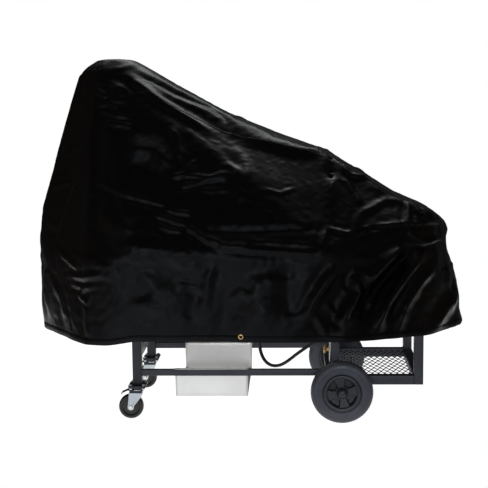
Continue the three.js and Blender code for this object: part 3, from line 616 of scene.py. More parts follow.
def main_wheel(side, sign):
    yc = -50 if sign < 0 else 592
    body = side + "_wheel"
    o = sign  # the face that looks outwards
    w = 33
    prof = [(77.6, o * 26), (79, o * 28.5), (84, o * 30.4), (90, o * 31.6), (96.6, o * 32.4), (98.2, o * 33), (99.6, o * 32.8), (100.4, o * 31.6), (101.4, o * 31.6), (108, o * 31.2), (114, o * 29.6),
            (119.5, o * 26.6), (123.6, o * 21.6), (126, o * 14.5), (126.9, o * 7), (127, 0),
            (126.9, -o * 7), (126, -o * 14.5), (123.6, -o * 21.6), (119.5, -o * 26.6), (114, -o * 29.6), (104, -o * 31.4), (94, -o * 31.6), (84, -o * 30.4), (79, -o * 28.5), (77.6, -o * 26)]
    tyre = lathe(side + "_tyre_fine", prof, (AX, yc, AZ), "y", "tyre_rubber", body, 112, (side + "_tyre",), 50, closed=True)
    # shallow tread grooves are cut by moving tread points
    me = tyre.data
    c = W(AX, yc, AZ)
    for v in me.vertices:
        d = v.co - c
        r = math.hypot(d.x, d.z)
        if r > 0.1255:
            a = math.atan2(d.z, d.x)
            k = 1 - 0.0006 / r * (0.5 + 0.5 * math.cos(a * 56))
            v.co.x = c.x + d.x * k
            v.co.z = c.z + d.z * k
    # rim: outer ring, web with four pockets, hub
    segs = 144
    rows = []
    radii = [9.9, 15.0, 15.6, 18.5, 20.5, 22, 24, 27, 30, 34, 39, 44, 49, 53.5, 57, 59.5, 62, 63.4, 65, 68, 72, 75, 76.6, 77.3]
    def face_h(r, a):
        # height of the outer face, outward from the wheel's middle plane
        if r <= 15.0:
            h = 41.5
        elif r <= 15.6:
            h = 38.5
        elif r <= 18.5:
            h = 36.0
        elif r <= 20.5:
            h = 31.0
        elif r <= 22:
            h = 26.0
        elif r < 59.5:
            h = 23.0 + 2.0 * (r - 22) / 37
        elif r < 63.4:
            h = 25.0 + 5.5 * (r - 59.5) / 4
        elif r < 75:
            h = 30.5 + 1.6 * math.sin((r - 63.4) / 11.6 * math.pi)
        elif r < 76.6:
            h = 29.5
        else:
            h = 27.0
        if 27 < r < 59.5:
            for k in range(4):
                m = math.radians(145 - 90 * k)
                d = (a - m + math.pi) % (2 * math.pi) - math.pi
                half = math.radians(26 - 5 * (1 - (r - 27) / 32))
                if abs(d) < half:
                    e = min(1, (half - abs(d)) / math.radians(3.2)) * min(1, (r - 27) / 3.0) * min(1, (59.5 - r) / 3.0)
                    h -= 22 * (e * e * (3 - 2 * e))
        return h
    verts, faces = [], []
    for r in radii:
        for i in range(segs):
            a = 2 * math.pi * i / segs
            verts.append(W(AX + r * math.cos(a), yc + sign * face_h(r, a), AZ + r * math.sin(a)))
    for j in range(len(radii) - 1):
        for i in range(segs):
            i2 = (i + 1) % segs
            faces.append((j * segs + i, j * segs + i2, (j + 1) * segs + i2, (j + 1) * segs + i))
    last = (len(radii) - 1) * segs
    inner = [(77.3, -26), (70, -29), (64, -14), (26, -10), (21, -33), (9.9, -33)]
    base = len(verts)
    for r, h in inner:
        for i in range(segs):
            a = 2 * math.pi * i / segs
            verts.append(W(AX + r * math.cos(a), yc + sign * h, AZ + r * math.sin(a)))
    prev = last
    for j in range(len(inner)):
        cur = base + j * segs
        for i in range(segs):
            i2 = (i + 1) % segs
            faces.append((prev + i, prev + i2, cur + i2, cur + i))
        prev = cur
    for i in range(segs):
        i2 = (i + 1) % segs
        faces.append((prev + i, prev + i2, i2, i))
    me = bpy.data.meshes.new(side + "_rim_fine")
    me.from_pydata([tuple(v) for v in verts], [], faces)
    bm = bmesh.new()
    bm.from_mesh(me)
    bmesh.ops.recalc_face_normals(bm, faces=bm.faces)
    bm.to_mesh(me)
    bm.free()
    put(side + "_rim_fine", me, "rim_plastic", body, (side + "_rim",), True, 38)
    # push-on axle cap over the hub's end
    lathe(side + "_axle_cap", [(0, sign * 45.5), (8, sign * 45.2), (11.5, sign * 43.8), (13, sign * 41.7), (13.4, sign * 41.6)], (AX, yc, AZ), "y", "rim_plastic", body, 40)


main_wheel("near", -1)
main_wheel("far", 1)


def caster(side, cy):
    cx = LEG / 2
    ax, az = cx - 29, 50.8
    # plate and raceway
    plate = rounded_loop(68, 88, 6, 5)
    n = len(plate)
    verts, faces = [], []
    for z in (133.8, 137.3):
        for u, v in plate:
            verts.append(W(cx - 34 + u, cy - 44 + v, z))
    for i in range(n):
        faces.append((i, (i + 1) % n, n + (i + 1) % n, n + i))
    faces.append(tuple(reversed(range(n))))
    faces.append(tuple(n + i for i in range(n)))
    obj_from(side + "_top_plate", verts, faces, "dark_sheet", "cart", (side + "_caster_plate",))
    lathe(side + "_race", [(0, 124.6), (23.5, 124.6), (26.5, 125.4), (28.6, 127.6), (29, 130), (28.2, 132.2), (26, 133.7), (0, 133.7)], (cx, cy, 0), "z", "dark_sheet", "cart", 56)
    # fork: crown disc, bridge and two tapering cheeks
    sw = side + "_swivel"
    lathe(side + "_crown", [(0, 119.8), (25.5, 119.8), (27, 120.8), (27, 122.8), (25.5, 123.8), (0, 123.8)], (cx, cy, 0), "z", "race_steel", sw, 56)
    fork = refine(side + "_caster_fork", "zinc_plate", sw, 0.9, 2)
    # the fork takes the dark sheet finish above 109 mm and stays bright zinc below
    bm = bmesh.new()
    bm.from_mesh(fork.data)
    bmesh.ops.bisect_plane(bm, geom=bm.verts[:] + bm.edges[:] + bm.faces[:], dist=1e-6, plane_co=(0, 0, 0.109), plane_no=(0, 0, 1))
    for f in bm.faces:
        f.material_index = 1 if f.calc_center_median().z > 0.109 else 0
    bm.to_mesh(fork.data)
    bm.free()
    fork.data.materials.append(M["dark_sheet"])
    for s in (-1, 1):
        hex_bolt(f"{side}_axle_nut_{'a' if s < 0 else 'b'}", (ax, cy + s * 23.6, az), "-y" if s < 0 else "+y", 7.6, sw, "race_steel", head=5, washer=True)
    # wheel
    w = 16
    prof = [(5.0, -18.4), (13, -18.4), (14.6, -17), (15.4, -13), (18, -11.6), (32.5, -11.6), (35.5, -13), (37.2, -15.2), (40, -16), (45, -15.8), (48.4, -14.4), (50.2, -11.5), (50.8, -7.5),
            (50.8, 7.5), (50.2, 11.5), (48.4, 14.4), (45, 15.8), (40, 16), (37.2, 15.2), (35.5, 13), (32.5, 11.6), (18, 11.6), (15.4, 13), (14.6, 17), (13, 18.4), (5.0, 18.4)]
    lathe(side + "_roller_fine", prof, (ax, cy, az), "y", "hose_rubber", side + "_roller", 88, (side + "_caster_wheel",), 40, closed=True)
    # brake pedal: pressed tread plate
    refine(side + "_brake_pedal", "dark_sheet", side + "_brake", 0.8, 2)


caster("near", LEG / 2)
caster("far", 542 - LEG / 2)

# Drip pan: thin sheet with flanges and a slightly dished face
def drip_pan():
    x0, x1, y0, y1, z0, rim, t = 173.0, 475.5, 27.2, 514.8, 89.0, 207.3, 1.6
    path = [(3.0, rim + t - 0.1), (3.0, rim + 0.1), (y0 - 2.2, rim + 0.05), (y0 - 0.6, rim - 0.8), (y0, rim - 2.6)]
    outer = [(3.0, rim), (y0 - 2.4, rim), (y0 - 0.7, rim - 0.7), (y0, rim - 2.4)]
    nz = 10
    for i in range(1, nz):
        outer.append((y0, rim - 2.4 - (rim - 2.4 - z0 - 2.4) * i / nz))
    outer += [(y0, z0 + 2.4), (y0 + 0.7, z0 + 0.7), (y0 + 2.4, z0)]
    for i in range(1, 12):
        outer.append((y0 + 2.4 + (y1 - y0 - 4.8) * i / 12, z0))
    outer += [(y1 - 2.4, z0), (y1 - 0.7, z0 + 0.7), (y1, z0 + 2.4)]
    for i in range(1, nz):
        outer.append((y1, z0 + 2.4 + (rim - 2.4 - z0 - 2.4) * i / nz))
    outer += [(y1, rim - 2.4), (y1 + 0.7, rim - 0.7), (y1 + 2.4, rim), (539.0, rim)]
    cols = 24
    verts, faces = [], []
    for y, z in outer:
        for c in range(cols + 1):
            u = c / cols
            x = x0 + (x1 - x0) * u
            # hand-folded sheet: the lower corners draw in a little
            low = max(0.0, (rim - z) / (rim - z0))
            x += (0.5 - u) * 5.0 * low
            bow = 1.4 * math.sin(math.pi * u) * math.sin(math.pi * min(1, low))
            yy = y + (bow if abs(y - y0) < 0.8 and z > z0 + 2 else (-bow if abs(y - y1) < 0.8 and z > z0 + 2 else 0))
            verts.append(W(x, yy, z))
    for r in range(len(outer) - 1):
        for c in range(cols):
            a = r * (cols + 1) + c
            faces.append((a, a + 1, a + cols + 2, a + cols + 1))
    me = bpy.data.meshes.new("drip_pan_sheet")
    me.from_pydata([tuple(v) for v in verts], [], faces)
    ob = put("drip_pan_sheet", me, "pan_steel", "tray", ("drip_tray",), True, 50)
    bm = bmesh.new()
    bm.from_mesh(ob.data)
    bmesh.ops.recalc_face_normals(bm, faces=bm.faces)
    # the sheet's thickness goes inwards (up and into the pan)
    mid = [f for f in bm.faces if abs(f.calc_center_median().z - W(0, 0, z0).z) < 0.001]
    if mid and mid[0].normal.z > 0:
        bmesh.ops.reverse_faces(bm, faces=bm.faces)
    bm.to_mesh(ob.data)
    bm.free()
    solid = ob.modifiers.new("sheet", "SOLIDIFY")
    solid.thickness = 0.0014
    solid.offset = -1
    for i, x in enumerate((x0 + 3.2, x1 - 3.2)):
        lip = []
        for k in range(13):
            lip.append(k / 12)
        verts, faces = [], []
        for s, dx in ((0, -0.7), (1, 0.7)):
            for u in lip:
                y = y0 + 2 + (y1 - y0 - 4) * u
                verts.append(W(x + dx, y, z0 + 1.2))
                verts.append(W(x + dx, y, z0 + 10.6))
        m = len(lip)
        for k in range(m - 1):
            a, b = 2 * k, 2 * m + 2 * k
            faces += [(a, a + 2, a + 3, a + 1), (b, b + 1, b + 3, b + 2), (a + 1, a + 3, b + 3, b + 1), (a, b, b + 2, a + 2)]
        faces += [(0, 1, 2 * m + 1, 2 * m), (2 * m - 2, 4 * m - 2, 4 * m - 1, 2 * m - 1)]
        obj_from(f"drip_pan_lip_{i}", verts, faces, "pan_steel", "tray")


drip_pan()

# Gas valve on its plate
refine("valve_plate", "stainless", "cart", 0.8, 2)
refine("gas_valve_stem", "brass", "cart", 0.5, 2)
refine("hose_fitting", "brass", "cart", 0.6, 2)
refine("gas_regulator", "heat_black", "cart", 0.8, 2)


def knurled_knob():
    segs = 160
    prof = [(0, 0.0, 0), (7, 0.0, 0), (7.6, 1.2, 0), (12, 1.4, 0), (14.6, 1.6, 0), (16.2, 2.6, 1), (16.6, 4, 1), (16.6, 8, 1), (16.2, 9.6, 1), (14.4, 10.8, 0), (9.6, 11.4, 0), (8.6, 10.4, 0), (0, 10.2, 0)]
    verts, faces = [], []
    for r, h, k in prof:
        for i in range(segs):
            a = 2 * math.pi * i / segs
            rr = r - (0.45 * (0.5 + 0.5 * math.cos(a * 40)) if k else 0)
            verts.append(W(783.4 + h, 35 + rr * math.cos(a), 285 + rr * math.sin(a)))
    for j in range(len(prof) - 1):
        for i in range(segs):
            i2 = (i + 1) % segs
            faces.append((j * segs + i, j * segs + i2, (j + 1) * segs + i2, (j + 1) * segs + i))
    me = bpy.data.meshes.new("gas_knob_fine")
    me.from_pydata([tuple(v) for v in verts], [], faces)
    bm = bmesh.new()
    bm.from_mesh(me)
    bmesh.ops.remove_doubles(bm, verts=bm.verts, dist=1e-6)
    bmesh.ops.recalc_face_normals(bm, faces=bm.faces)
    bm.to_mesh(me)
    bm.free()
    put("gas_knob_fine", me, "brass", "knob", ("gas_valve_knob",), True, 30)


knurled_knob()

# ---------------------------------------------------- the cooker underneath
for node, mat, body, bev, slot_ in (
        ("cooking_chamber", "stainless", "cart", 1.2, "stainless"),
        ("cooking_lid", "stainless", "lid", 1.0, "stainless"),
        ("cooking_grate", "heat_black", "cart", 0.6, "heat_black"),
        ("firebox", "heat_black", "cart", 1.6, "heat_black"),
        ("firebox_lid", "heat_black", "fire_lid", 1.2, "heat_black"),
        ("fire_grate", "heat_black", "cart", 0.9, "heat_black"),
        ("air_damper", "heat_black", "air_vent", 0.6, "heat_black"),
        ("front_shelf", "stainless", "shelf", 1.2, "stainless"),
        ("shelf_hinge", "zinc_plate", "cart", 0.5, "zinc_plate"),
        ("lid_hinge_barrel", "zinc_plate", "cart", 0.5, "zinc_plate"),
        ("firebox_hinge_barrel", "zinc_plate", "cart", 0.5, "zinc_plate"),
        ("lid_thermometer", "stainless", "lid", 0.5, "stainless"),
        ("flue_damper", "zinc_plate", "damper", 0.4, "zinc_plate")):
    refine(node, mat, body, bev, 2)
FX, FY = -95, 271
refine("flue_stack", "stainless", "cart", 0.6, 2)
lathe("flue_pipe", [(54.2, 966), (57.3, 966), (57.3, 1409), (58.6, 1410.2), (57.4, 1411), (54.6, 1410.6), (54.2, 1409)], (FX, FY, 0), "z", "stainless", "cart", 96, (), 40, closed=True)
cap = lathe("flue_cap_dish", [(0, 1453), (22, 1452.2), (44, 1449.6), (66, 1444.6), (88, 1437.8), (103.6, 1431.6), (105.8, 1430), (106, 1428.4), (104.6, 1428.2), (102.6, 1429.4), (87, 1435.8), (65, 1442.6), (43, 1447.6), (21, 1450.2), (0, 1451)],
            (FX, FY, 0), "z", "stainless", "cart", 96, ("flue_cap",), 50)
lathe("flue_cap_collar", [(57.8, 1380), (59.8, 1380), (59.8, 1404), (57.8, 1404)], (FX, FY, 0), "z", "stainless", "cart", 72, (), 40, closed=True)
for k in range(3):
    a = 2 * math.pi * k / 3
    ca, sa = math.cos(a), math.sin(a)
    pts = []
    for h, r in ((1385, 60.4), (1404, 60.4), (1418, 61.5), (1432, 64), (1441, 70)):
        pts.append((FX + r * ca, FY + r * sa, h))
    verts, faces = [], []
    for x, y, z in pts:
        for u, v in ((-7, -1), (7, -1), (7, 1), (-7, 1)):
            verts.append(W(x - sa * u + ca * v, y + ca * u + sa * v, z))
    for j in range(len(pts) - 1):
        for i in range(4):
            faces.append((4 * j + i, 4 * j + (i + 1) % 4, 4 * j + 4 + (i + 1) % 4, 4 * j + 4 + i))
    faces += [(3, 2, 1, 0), tuple(4 * (len(pts) - 1) + i for i in range(4))]
    obj_from(f"flue_cap_strap_{k}", verts, faces, "stainless", "cart")

rod_curve("pull_handle_bar", [(19.6, 190, 700), (-20, 190, 700), (-200, 190, 706), (-318, 193, 712), (-362, 206, 712), (-374, 236, 712), (-374, 271, 712), (-374, 306, 712), (-362, 336, 712), (-318, 349, 712), (-200, 352, 706), (-20, 352, 700), (19.6, 352, 700)],
          9, "stainless", "cart", ("pull_handle",))
for y in (190, 352):
    lathe(f"pull_handle_flange_{y}", [(9.2, -1.2), (24, -1.2), (25, -2.2), (25, -5), (24, -6), (12, -6), (9.2, -8.5)], (19.4, y, 700), "x", "stainless", "cart", 48, (), 40, closed=True)
rod_curve("end_handle_bar", [(1200.4, 204, 770), (1225, 204, 770), (1250, 204, 770), (1266, 208, 770), (1269, 226, 770), (1269, 250, 770), (1269, 271, 770), (1269, 292, 770), (1269, 316, 770), (1266, 334, 770), (1250, 338, 770), (1225, 338, 770), (1200.4, 338, 770)],
          8, "stainless", "cart", ("end_handle",))
for y in (204, 338):
    lathe(f"end_handle_flange_{y}", [(8.2, 1.0), (20, 1.0), (21, 2), (21, 4), (20, 5), (11, 5), (8.2, 7)], (1200.4, y, 770), "x", "stainless", "cart", 48, (), 40, closed=True)


def lid_point(x, d, t):
    return (x, 30 + t * 82 - d * 0.957, 800 + t * 270 + d * 0.29)


rod_curve("lid_grip", [lid_point(x, 42, 0.45) for x in (170, 300, 395, 490, 620)], 11, "stainless", "lid", ("lid_handle",), smooth_pts=False)
for k, x in enumerate((200, 590)):
    rod_curve(f"lid_grip_post_{k}", [lid_point(x, 5.5, 0.45), lid_point(x, 20, 0.45), lid_point(x, 41, 0.45)], 6, "stainless", "lid", (), smooth_pts=False)
rod_curve("fire_grip", [(930, 15, 830), (1000, 15, 830), (1090, 15, 830)], 9, "stainless", "fire_lid", ("firebox_lid_handle",), smooth_pts=False)
for k, x in enumerate((955, 1065)):
    rod_curve(f"fire_grip_post_{k}", [(x, 51, 830), (x, 35, 830), (x, 16, 830)], 5, "stainless", "fire_lid", (), smooth_pts=False)
# dial face of the thermometer, with plain ticks and a needle
lathe("dial_face", [(0, 0.0), (25, 0.0), (25, -0.4)], (655, 330, 1070 + 1.2 + 2.9 + 9.75), "z", "race_steel", "lid", 48)
for k in range(11):
    a = math.radians(-120 + 24 * k)
    cx, cy, z = 655 + 21 * math.sin(a), 330 + 21 * math.cos(a), 1084.9
    dx, dy = math.sin(a), math.cos(a)
    verts = [W(cx + dx * s * 2.2 - dy * q * 0.5, cy + dy * s * 2.2 + dx * q * 0.5, z + h) for h in (0, 0.25) for s, q in ((-1, -1), (1, -1), (1, 1), (-1, 1))]
    obj_from(f"dial_tick_{k}", verts, [(3, 2, 1, 0), (4, 5, 6, 7), (0, 1, 5, 4), (1, 2, 6, 5), (2, 3, 7, 6), (3, 0, 4, 7)], "heat_black", "lid")
verts = [W(655 + x, 330 + y, 1085.0 + h) for h in (0, 0.5) for x, y in ((-1.1, -6), (1.1, -6), (0.4, 17), (-0.4, 17))]
obj_from("dial_needle", verts, [(3, 2, 1, 0), (4, 5, 6, 7), (0, 1, 5, 4), (1, 2, 6, 5), (2, 3, 7, 6), (3, 0, 4, 7)], "heat_black", "lid")
for k, (x, y, z, axn) in enumerate([(120, 513, 1040, "+y"), (300, 513, 1040, "+y"), (535, 513, 1040, "+y"), (715, 513, 1040, "+y")]):
    hex_bolt(f"hinge_screw_{k}", (x, 515.4, z), "+y", 4.2, "cart", head=3.2, washer=False)

# ------------------------------------------------------------------ the cover
def hull_obj(points):
    bm = bmesh.new()
    for p in points:
        bm.verts.new(W(*p))
    bmesh.ops.convex_hull(bm, input=bm.verts)
    loose = [v for v in bm.verts if not v.link_faces]
    bmesh.ops.delete(bm, geom=loose, context="VERTS")
    me = bpy.data.meshes.new("hull")
    bm.to_mesh(me)
    bm.free()
    return me


def ring_at(cx, r, z, n=20, ry=None):
    return [(cx + r * math.cos(2 * math.pi * i / n), FY + (ry or r) * math.sin(2 * math.pi * i / n), z) for i in range(n)]


HEM_Z = 366
# what holds the cloth up: the flue's cap, the lid's edges, the firebox, the lifting handle, the work shelf and the pull handle
UPPER = ring_at(-64, 84, 1474) + ring_at(-74, 110, 1452, ry=114) + ring_at(-95, 133, 1414) + [
    (-60, 86, 1091), (-60, 538, 1096), (822, 88, 1085), (822, 538, 1085),
    (1218, 32, 852), (1218, 518, 852),
    (1303, 206, 785), (1303, 336, 785), (1301, 206, 754), (1301, 336, 754),
    (34, -191, 722), (804, -193, 727), (-412, 198, 744), (-412, 344, 744)]
HIP = [(-413, 262), (-358, 112), (-240, -30), (-160, -130), (0, -176), (360, -186), (690, -188), (850, -178), (1010, -128), (1150, -62), (1238, 34), (1298, 176), (1306, 262), (1298, 380), (1236, 512), (1126, 588), (860, 630), (400, 636), (0, 634), (-160, 592), (-242, 500), (-358, 410)]
MIDR = [(1322, 190), (1332, 262), (1322, 350)]
HEM = [(-410, 262), (-322, 88), (-232, -54), (-163, -143), (0, -178), (360, -186), (690, -188), (860, -210), (1010, -152), (1192, -74), (1266, 8), (1344, 148), (1388, 262), (1340, 400), (1254, 522), (1152, 602), (860, 642), (400, 645), (0, 642), (-162, 602), (-244, 502), (-336, 382)]


def at_z(pts, z, k=1.0):
    return [(490 + (x - 490) * k, 235 + (y - 235) * k, z) for x, y in pts]


def cover_base(voxel):
    me_a = hull_obj(UPPER + at_z(HIP, 640))
    me_b = hull_obj(at_z(HEM, HEM_Z - 40) + at_z(MIDR, 590) + at_z(HIP, 692, 0.997))
    bm = bmesh.new()
    bm.from_mesh(me_a)
    bm.from_mesh(me_b)
    me = bpy.data.meshes.new("cover_base")
    bm.to_mesh(me)
    bm.free()
    ob = bpy.data.objects.new("cover_base", me)
    SCENE.collection.objects.link(ob)
    md = ob.modifiers.new("vox", "REMESH")
    md.mode = "VOXEL"
    md.voxel_size = voxel
    md.adaptivity = 0
    sm = ob.modifiers.new("sm", "SMOOTH")
    sm.factor = 0.5
    sm.iterations = 9
    bpy.context.view_layer.update()
    me2 = bpy.data.meshes.new_from_object(ob.evaluated_get(bpy.context.evaluated_depsgraph_get()))
    bpy.data.objects.remove(ob)
    bm = bmesh.new()
    bm.from_mesh(me2)
    bmesh.ops.recalc_face_normals(bm, faces=bm.faces)
    geom = bm.verts[:] + bm.edges[:] + bm.faces[:]
    bmesh.ops.bisect_plane(bm, geom=geom, plane_co=(0, 0, HEM_Z / 1000), plane_no=(0, 0, 1), clear_inner=True)
    # slivers along the cut are merged away
    short = [e for e in bm.edges if e.calc_length() < voxel * 0.35]
    bmesh.ops.collapse(bm, edges=short)
    bm.to_mesh(me2)
    bm.free()
    return me2


def mesh_co(me):
    a = np.empty(len(me.vertices) * 3, dtype=np.float64)
    me.vertices.foreach_get("co", a)
    return a.reshape(-1, 3)


def set_co(me, a):
    me.vertices.foreach_set("co", np.ascontiguousarray(a, dtype=np.float64).ravel())
    me.update()


def cart_mm(a):
    """Row-frame metres as cart-frame millimetres."""
    return a * 1000.0 + np.array([OX * 1000, OY * 1000, 0.0])


def step01(v, a, b):
    t = np.clip((v - a) / (b - a), 0, 1)
    return t * t * (3 - 2 * t)


def box_proxy(name, x0, x1, y0, y1, z0, z1, cut=None):
    pts = [(x, y, z) for x in (x0, x1) for y in (y0, y1) for z in (z0, z1)] if cut is None else cut
    me = hull_obj(pts)
    ob = bpy.data.objects.new(name, me)
    SCENE.collection.objects.link(ob)
    c = ob.modifiers.new("hit", "COLLISION")
    ob.collision.thickness_outer = 0.004
    ob.collision.thickness_inner = 0.02
    ob.collision.cloth_friction = 14
    return ob


def drape(ob, frames):
    """Lets the cloth sink under its own weight on to what holds it up, with a little slack, and applies the result."""
    proxies = [
        box_proxy("hold_lid", 0, 0, 0, 0, 0, 0, [(x, y, z) for x in (22, 813) for y, z in ((34, 450), (508, 450), (508, 1074), (112, 1074), (30, 806))]),
        box_proxy("hold_fire", 816, 1204, 50, 490, 450, 846),
        box_proxy("hold_shelf", 38, 806, -182, 30, 690, 714),
        box_proxy("hold_flue", 0, 0, 0, 0, 0, 0, ring_at(FX, 62, 970) + ring_at(FX, 62, 1420)),
        box_proxy("hold_cap", 0, 0, 0, 0, 0, 0, ring_at(FX, 107, 1426) + ring_at(FX, 104, 1434) + ring_at(FX, 50, 1455)),
        box_proxy("hold_pull", -384, 22, 182, 360, 694, 722),
        box_proxy("hold_end", 1198, 1282, 196, 346, 758, 782)]
    me = ob.data
    c = cart_mm(mesh_co(me))
    x, y, z = c[:, 0], c[:, 1], c[:, 2]
    w = np.full(len(x), 0.36)
    w = np.maximum(w, 0.80 * step01(z, 1380, 1440))
    w = np.maximum(w, 0.74 * (1 - step01(z, 366, 430)))
    w = np.maximum(w, 0.72 * (1 - step01(x, -400, -300)))
    w = np.maximum(w, 0.72 * step01(x, 1230, 1300))
    w = np.maximum(w, 0.60 * step01(y, 560, 610))
    g = ob.vertex_groups.new(name="held")
    for i, v in enumerate(w):
        g.add([i], float(v), "REPLACE")
    cl = ob.modifiers.new("cloth", "CLOTH")
    s = cl.settings
    s.quality = 6
    s.mass = 0.02
    s.air_damping = 2.0
    s.tension_stiffness = 60
    s.compression_stiffness = 35
    s.shear_stiffness = 25
    s.bending_stiffness = 1.2
    s.tension_damping = 12
    s.compression_damping = 12
    s.shear_damping = 10
    s.bending_damping = 1.0
    s.vertex_group_mass = "held"
    s.pin_stiffness = 2.0
    s.shrink_min = -0.014
    s.shrink_max = -0.014
    cs = cl.collision_settings
    cs.use_collision = True
    cs.distance_min = 0.004
    cs.collision_quality = 2
    cs.use_self_collision = False
    cl.point_cache.frame_start = 1
    cl.point_cache.frame_end = frames + 1
    SCENE.frame_start, SCENE.frame_end = 1, frames + 1
    for f in range(1, frames + 1):
        SCENE.frame_set(f)
    ev = ob.evaluated_get(bpy.context.evaluated_depsgraph_get())
    after = bpy.data.meshes.new_from_object(ev)
    out = mesh_co(after)
    ob.modifiers.remove(cl)
    ob.vertex_groups.clear()
    for p in proxies:
        bpy.data.objects.remove(p)
    SCENE.frame_set(1)
    before = mesh_co(me)
    move = out - before
    far = np.linalg.norm(move, axis=1)
    cap = 0.075
    k = np.where(far > cap, cap / np.maximum(far, 1e-9), 1.0)
    set_co(me, before + move * k[:, None])
    bpy.data.meshes.remove(after)
    return float(far.max()), float(far.mean())


def finer(me):
    """One smooth subdivision of the draped cloth."""
    ob = bpy.data.objects.new("finer", me)
    SCENE.collection.objects.link(ob)
    sub = ob.modifiers.new("sub", "SUBSURF")
    sub.levels = 1
    sub.render_levels = 1
    bpy.context.view_layer.update()
    out = bpy.data.meshes.new_from_object(ob.evaluated_get(bpy.context.evaluated_depsgraph_get()))
    bpy.data.objects.remove(ob)
    return out


class Surface:
    """The cloth as a surface to draw creases on: lines are given as the eye sees them, or as cart points."""
    def __init__(self, me):
        self.me = me
        self.refresh()

    def refresh(self):
        self.co = mesh_co(self.me)
        n = np.empty(len(self.me.vertices) * 3)
        self.me.vertex_normals.foreach_get("vector", n)
        self.no = n.reshape(-1, 3)
        bm = bmesh.new()
        bm.from_mesh(self.me)
        self.tree = BVHTree.FromBMesh(bm)
        bm.free()

    def seen(self, pts, step=0.006):
        """Where a line of picture points lies on the cloth, with the normal at each place."""
        out = []
        for i in range(len(pts) - 1):
            (xa, ya), (xb, yb) = pts[i], pts[i + 1]
            m = max(2, int(math.hypot(xb - xa, yb - ya) * 0.0041 / step))
            for k in range(m if i < len(pts) - 2 else m + 1):
                t = k / m
                loc, nor, _, _ = self.tree.ray_cast(CAM_AT, ray(xa + (xb - xa) * t, ya + (yb - ya) * t))
                if loc is not None:
                    out.append((loc.copy(), nor.copy()))
        return out

    def nearest(self, pts):
        out = []
        for p in pts:
            loc, nor, _, _ = self.tree.find_nearest(p)
            if loc is not None:
                out.append((loc.copy(), nor.copy()))
        return out

    def fold(self, line, depth, width, kind="ridge", ends=0.25):
        """Moves the cloth near a line along its normals, in mm: a ridge, or a step that rises on the line's left and sinks on its right."""
        if len(line) < 3:
            return
        P_ = np.array([tuple(p) for p, _ in line])
        Nn = np.array([tuple(n) for _, n in line])
        w = width / 1000.0
        lo, hi = P_.min(0) - 3.2 * w, P_.max(0) + 3.2 * w
        near = np.where(np.all((self.co > lo) & (self.co < hi), axis=1))[0]
        if not len(near):
            return
        V = self.co[near]
        best = np.full(len(near), 9.0)
        side = np.zeros(len(near))
        along = np.zeros(len(near))
        seg = np.linalg.norm(np.diff(P_, axis=0), axis=1)
        run = np.concatenate([[0], np.cumsum(seg)])
        total = max(run[-1], 1e-6)
        facing = np.zeros(len(near))
        for i in range(len(P_) - 1):
            a, d = P_[i], P_[i + 1] - P_[i]
            L2 = max(float(d @ d), 1e-12)
            t = np.clip(((V - a) @ d) / L2, 0, 1)
            q = a + t[:, None] * d
            r = V - q
            dist = np.linalg.norm(r, axis=1)
            better = dist < best
            n = Nn[i]
            s = np.cross(d, n)
            s = s / max(np.linalg.norm(s), 1e-9)
            best = np.where(better, dist, best)
            side = np.where(better, r @ s, side)
            along = np.where(better, (run[i] + t * seg[i]) / total, along)
            facing = np.where(better, self.no[near] @ n, facing)
        taper = np.clip(np.minimum(along, 1 - along) / max(ends, 1e-3), 0, 1)
        taper = taper * taper * (3 - 2 * taper)
        taper = 0.12 + 0.88 * taper
        u = best / w
        if kind == "ridge":
            f = np.exp(-(u ** 1.6)) - 0.28 * np.exp(-((u - 1.9) / 0.9) ** 2)
        else:
            f = -np.tanh(side / (0.45 * w)) * np.exp(-(u / 1.35) ** 2)
        f = np.where((u < 3.2) & (facing > 0.2), f * taper * depth / 1000.0, 0.0)
        self.co[near] += self.no[near] * f[:, None]

    def write(self):
        set_co(self.me, self.co)
        self.refresh()


def pic(pts):
    """Points of the drawing grid of the folds (four to the picture's pixel) as picture points."""
    return [(36 + x / 4, 52 + y / 4) for x, y in pts]


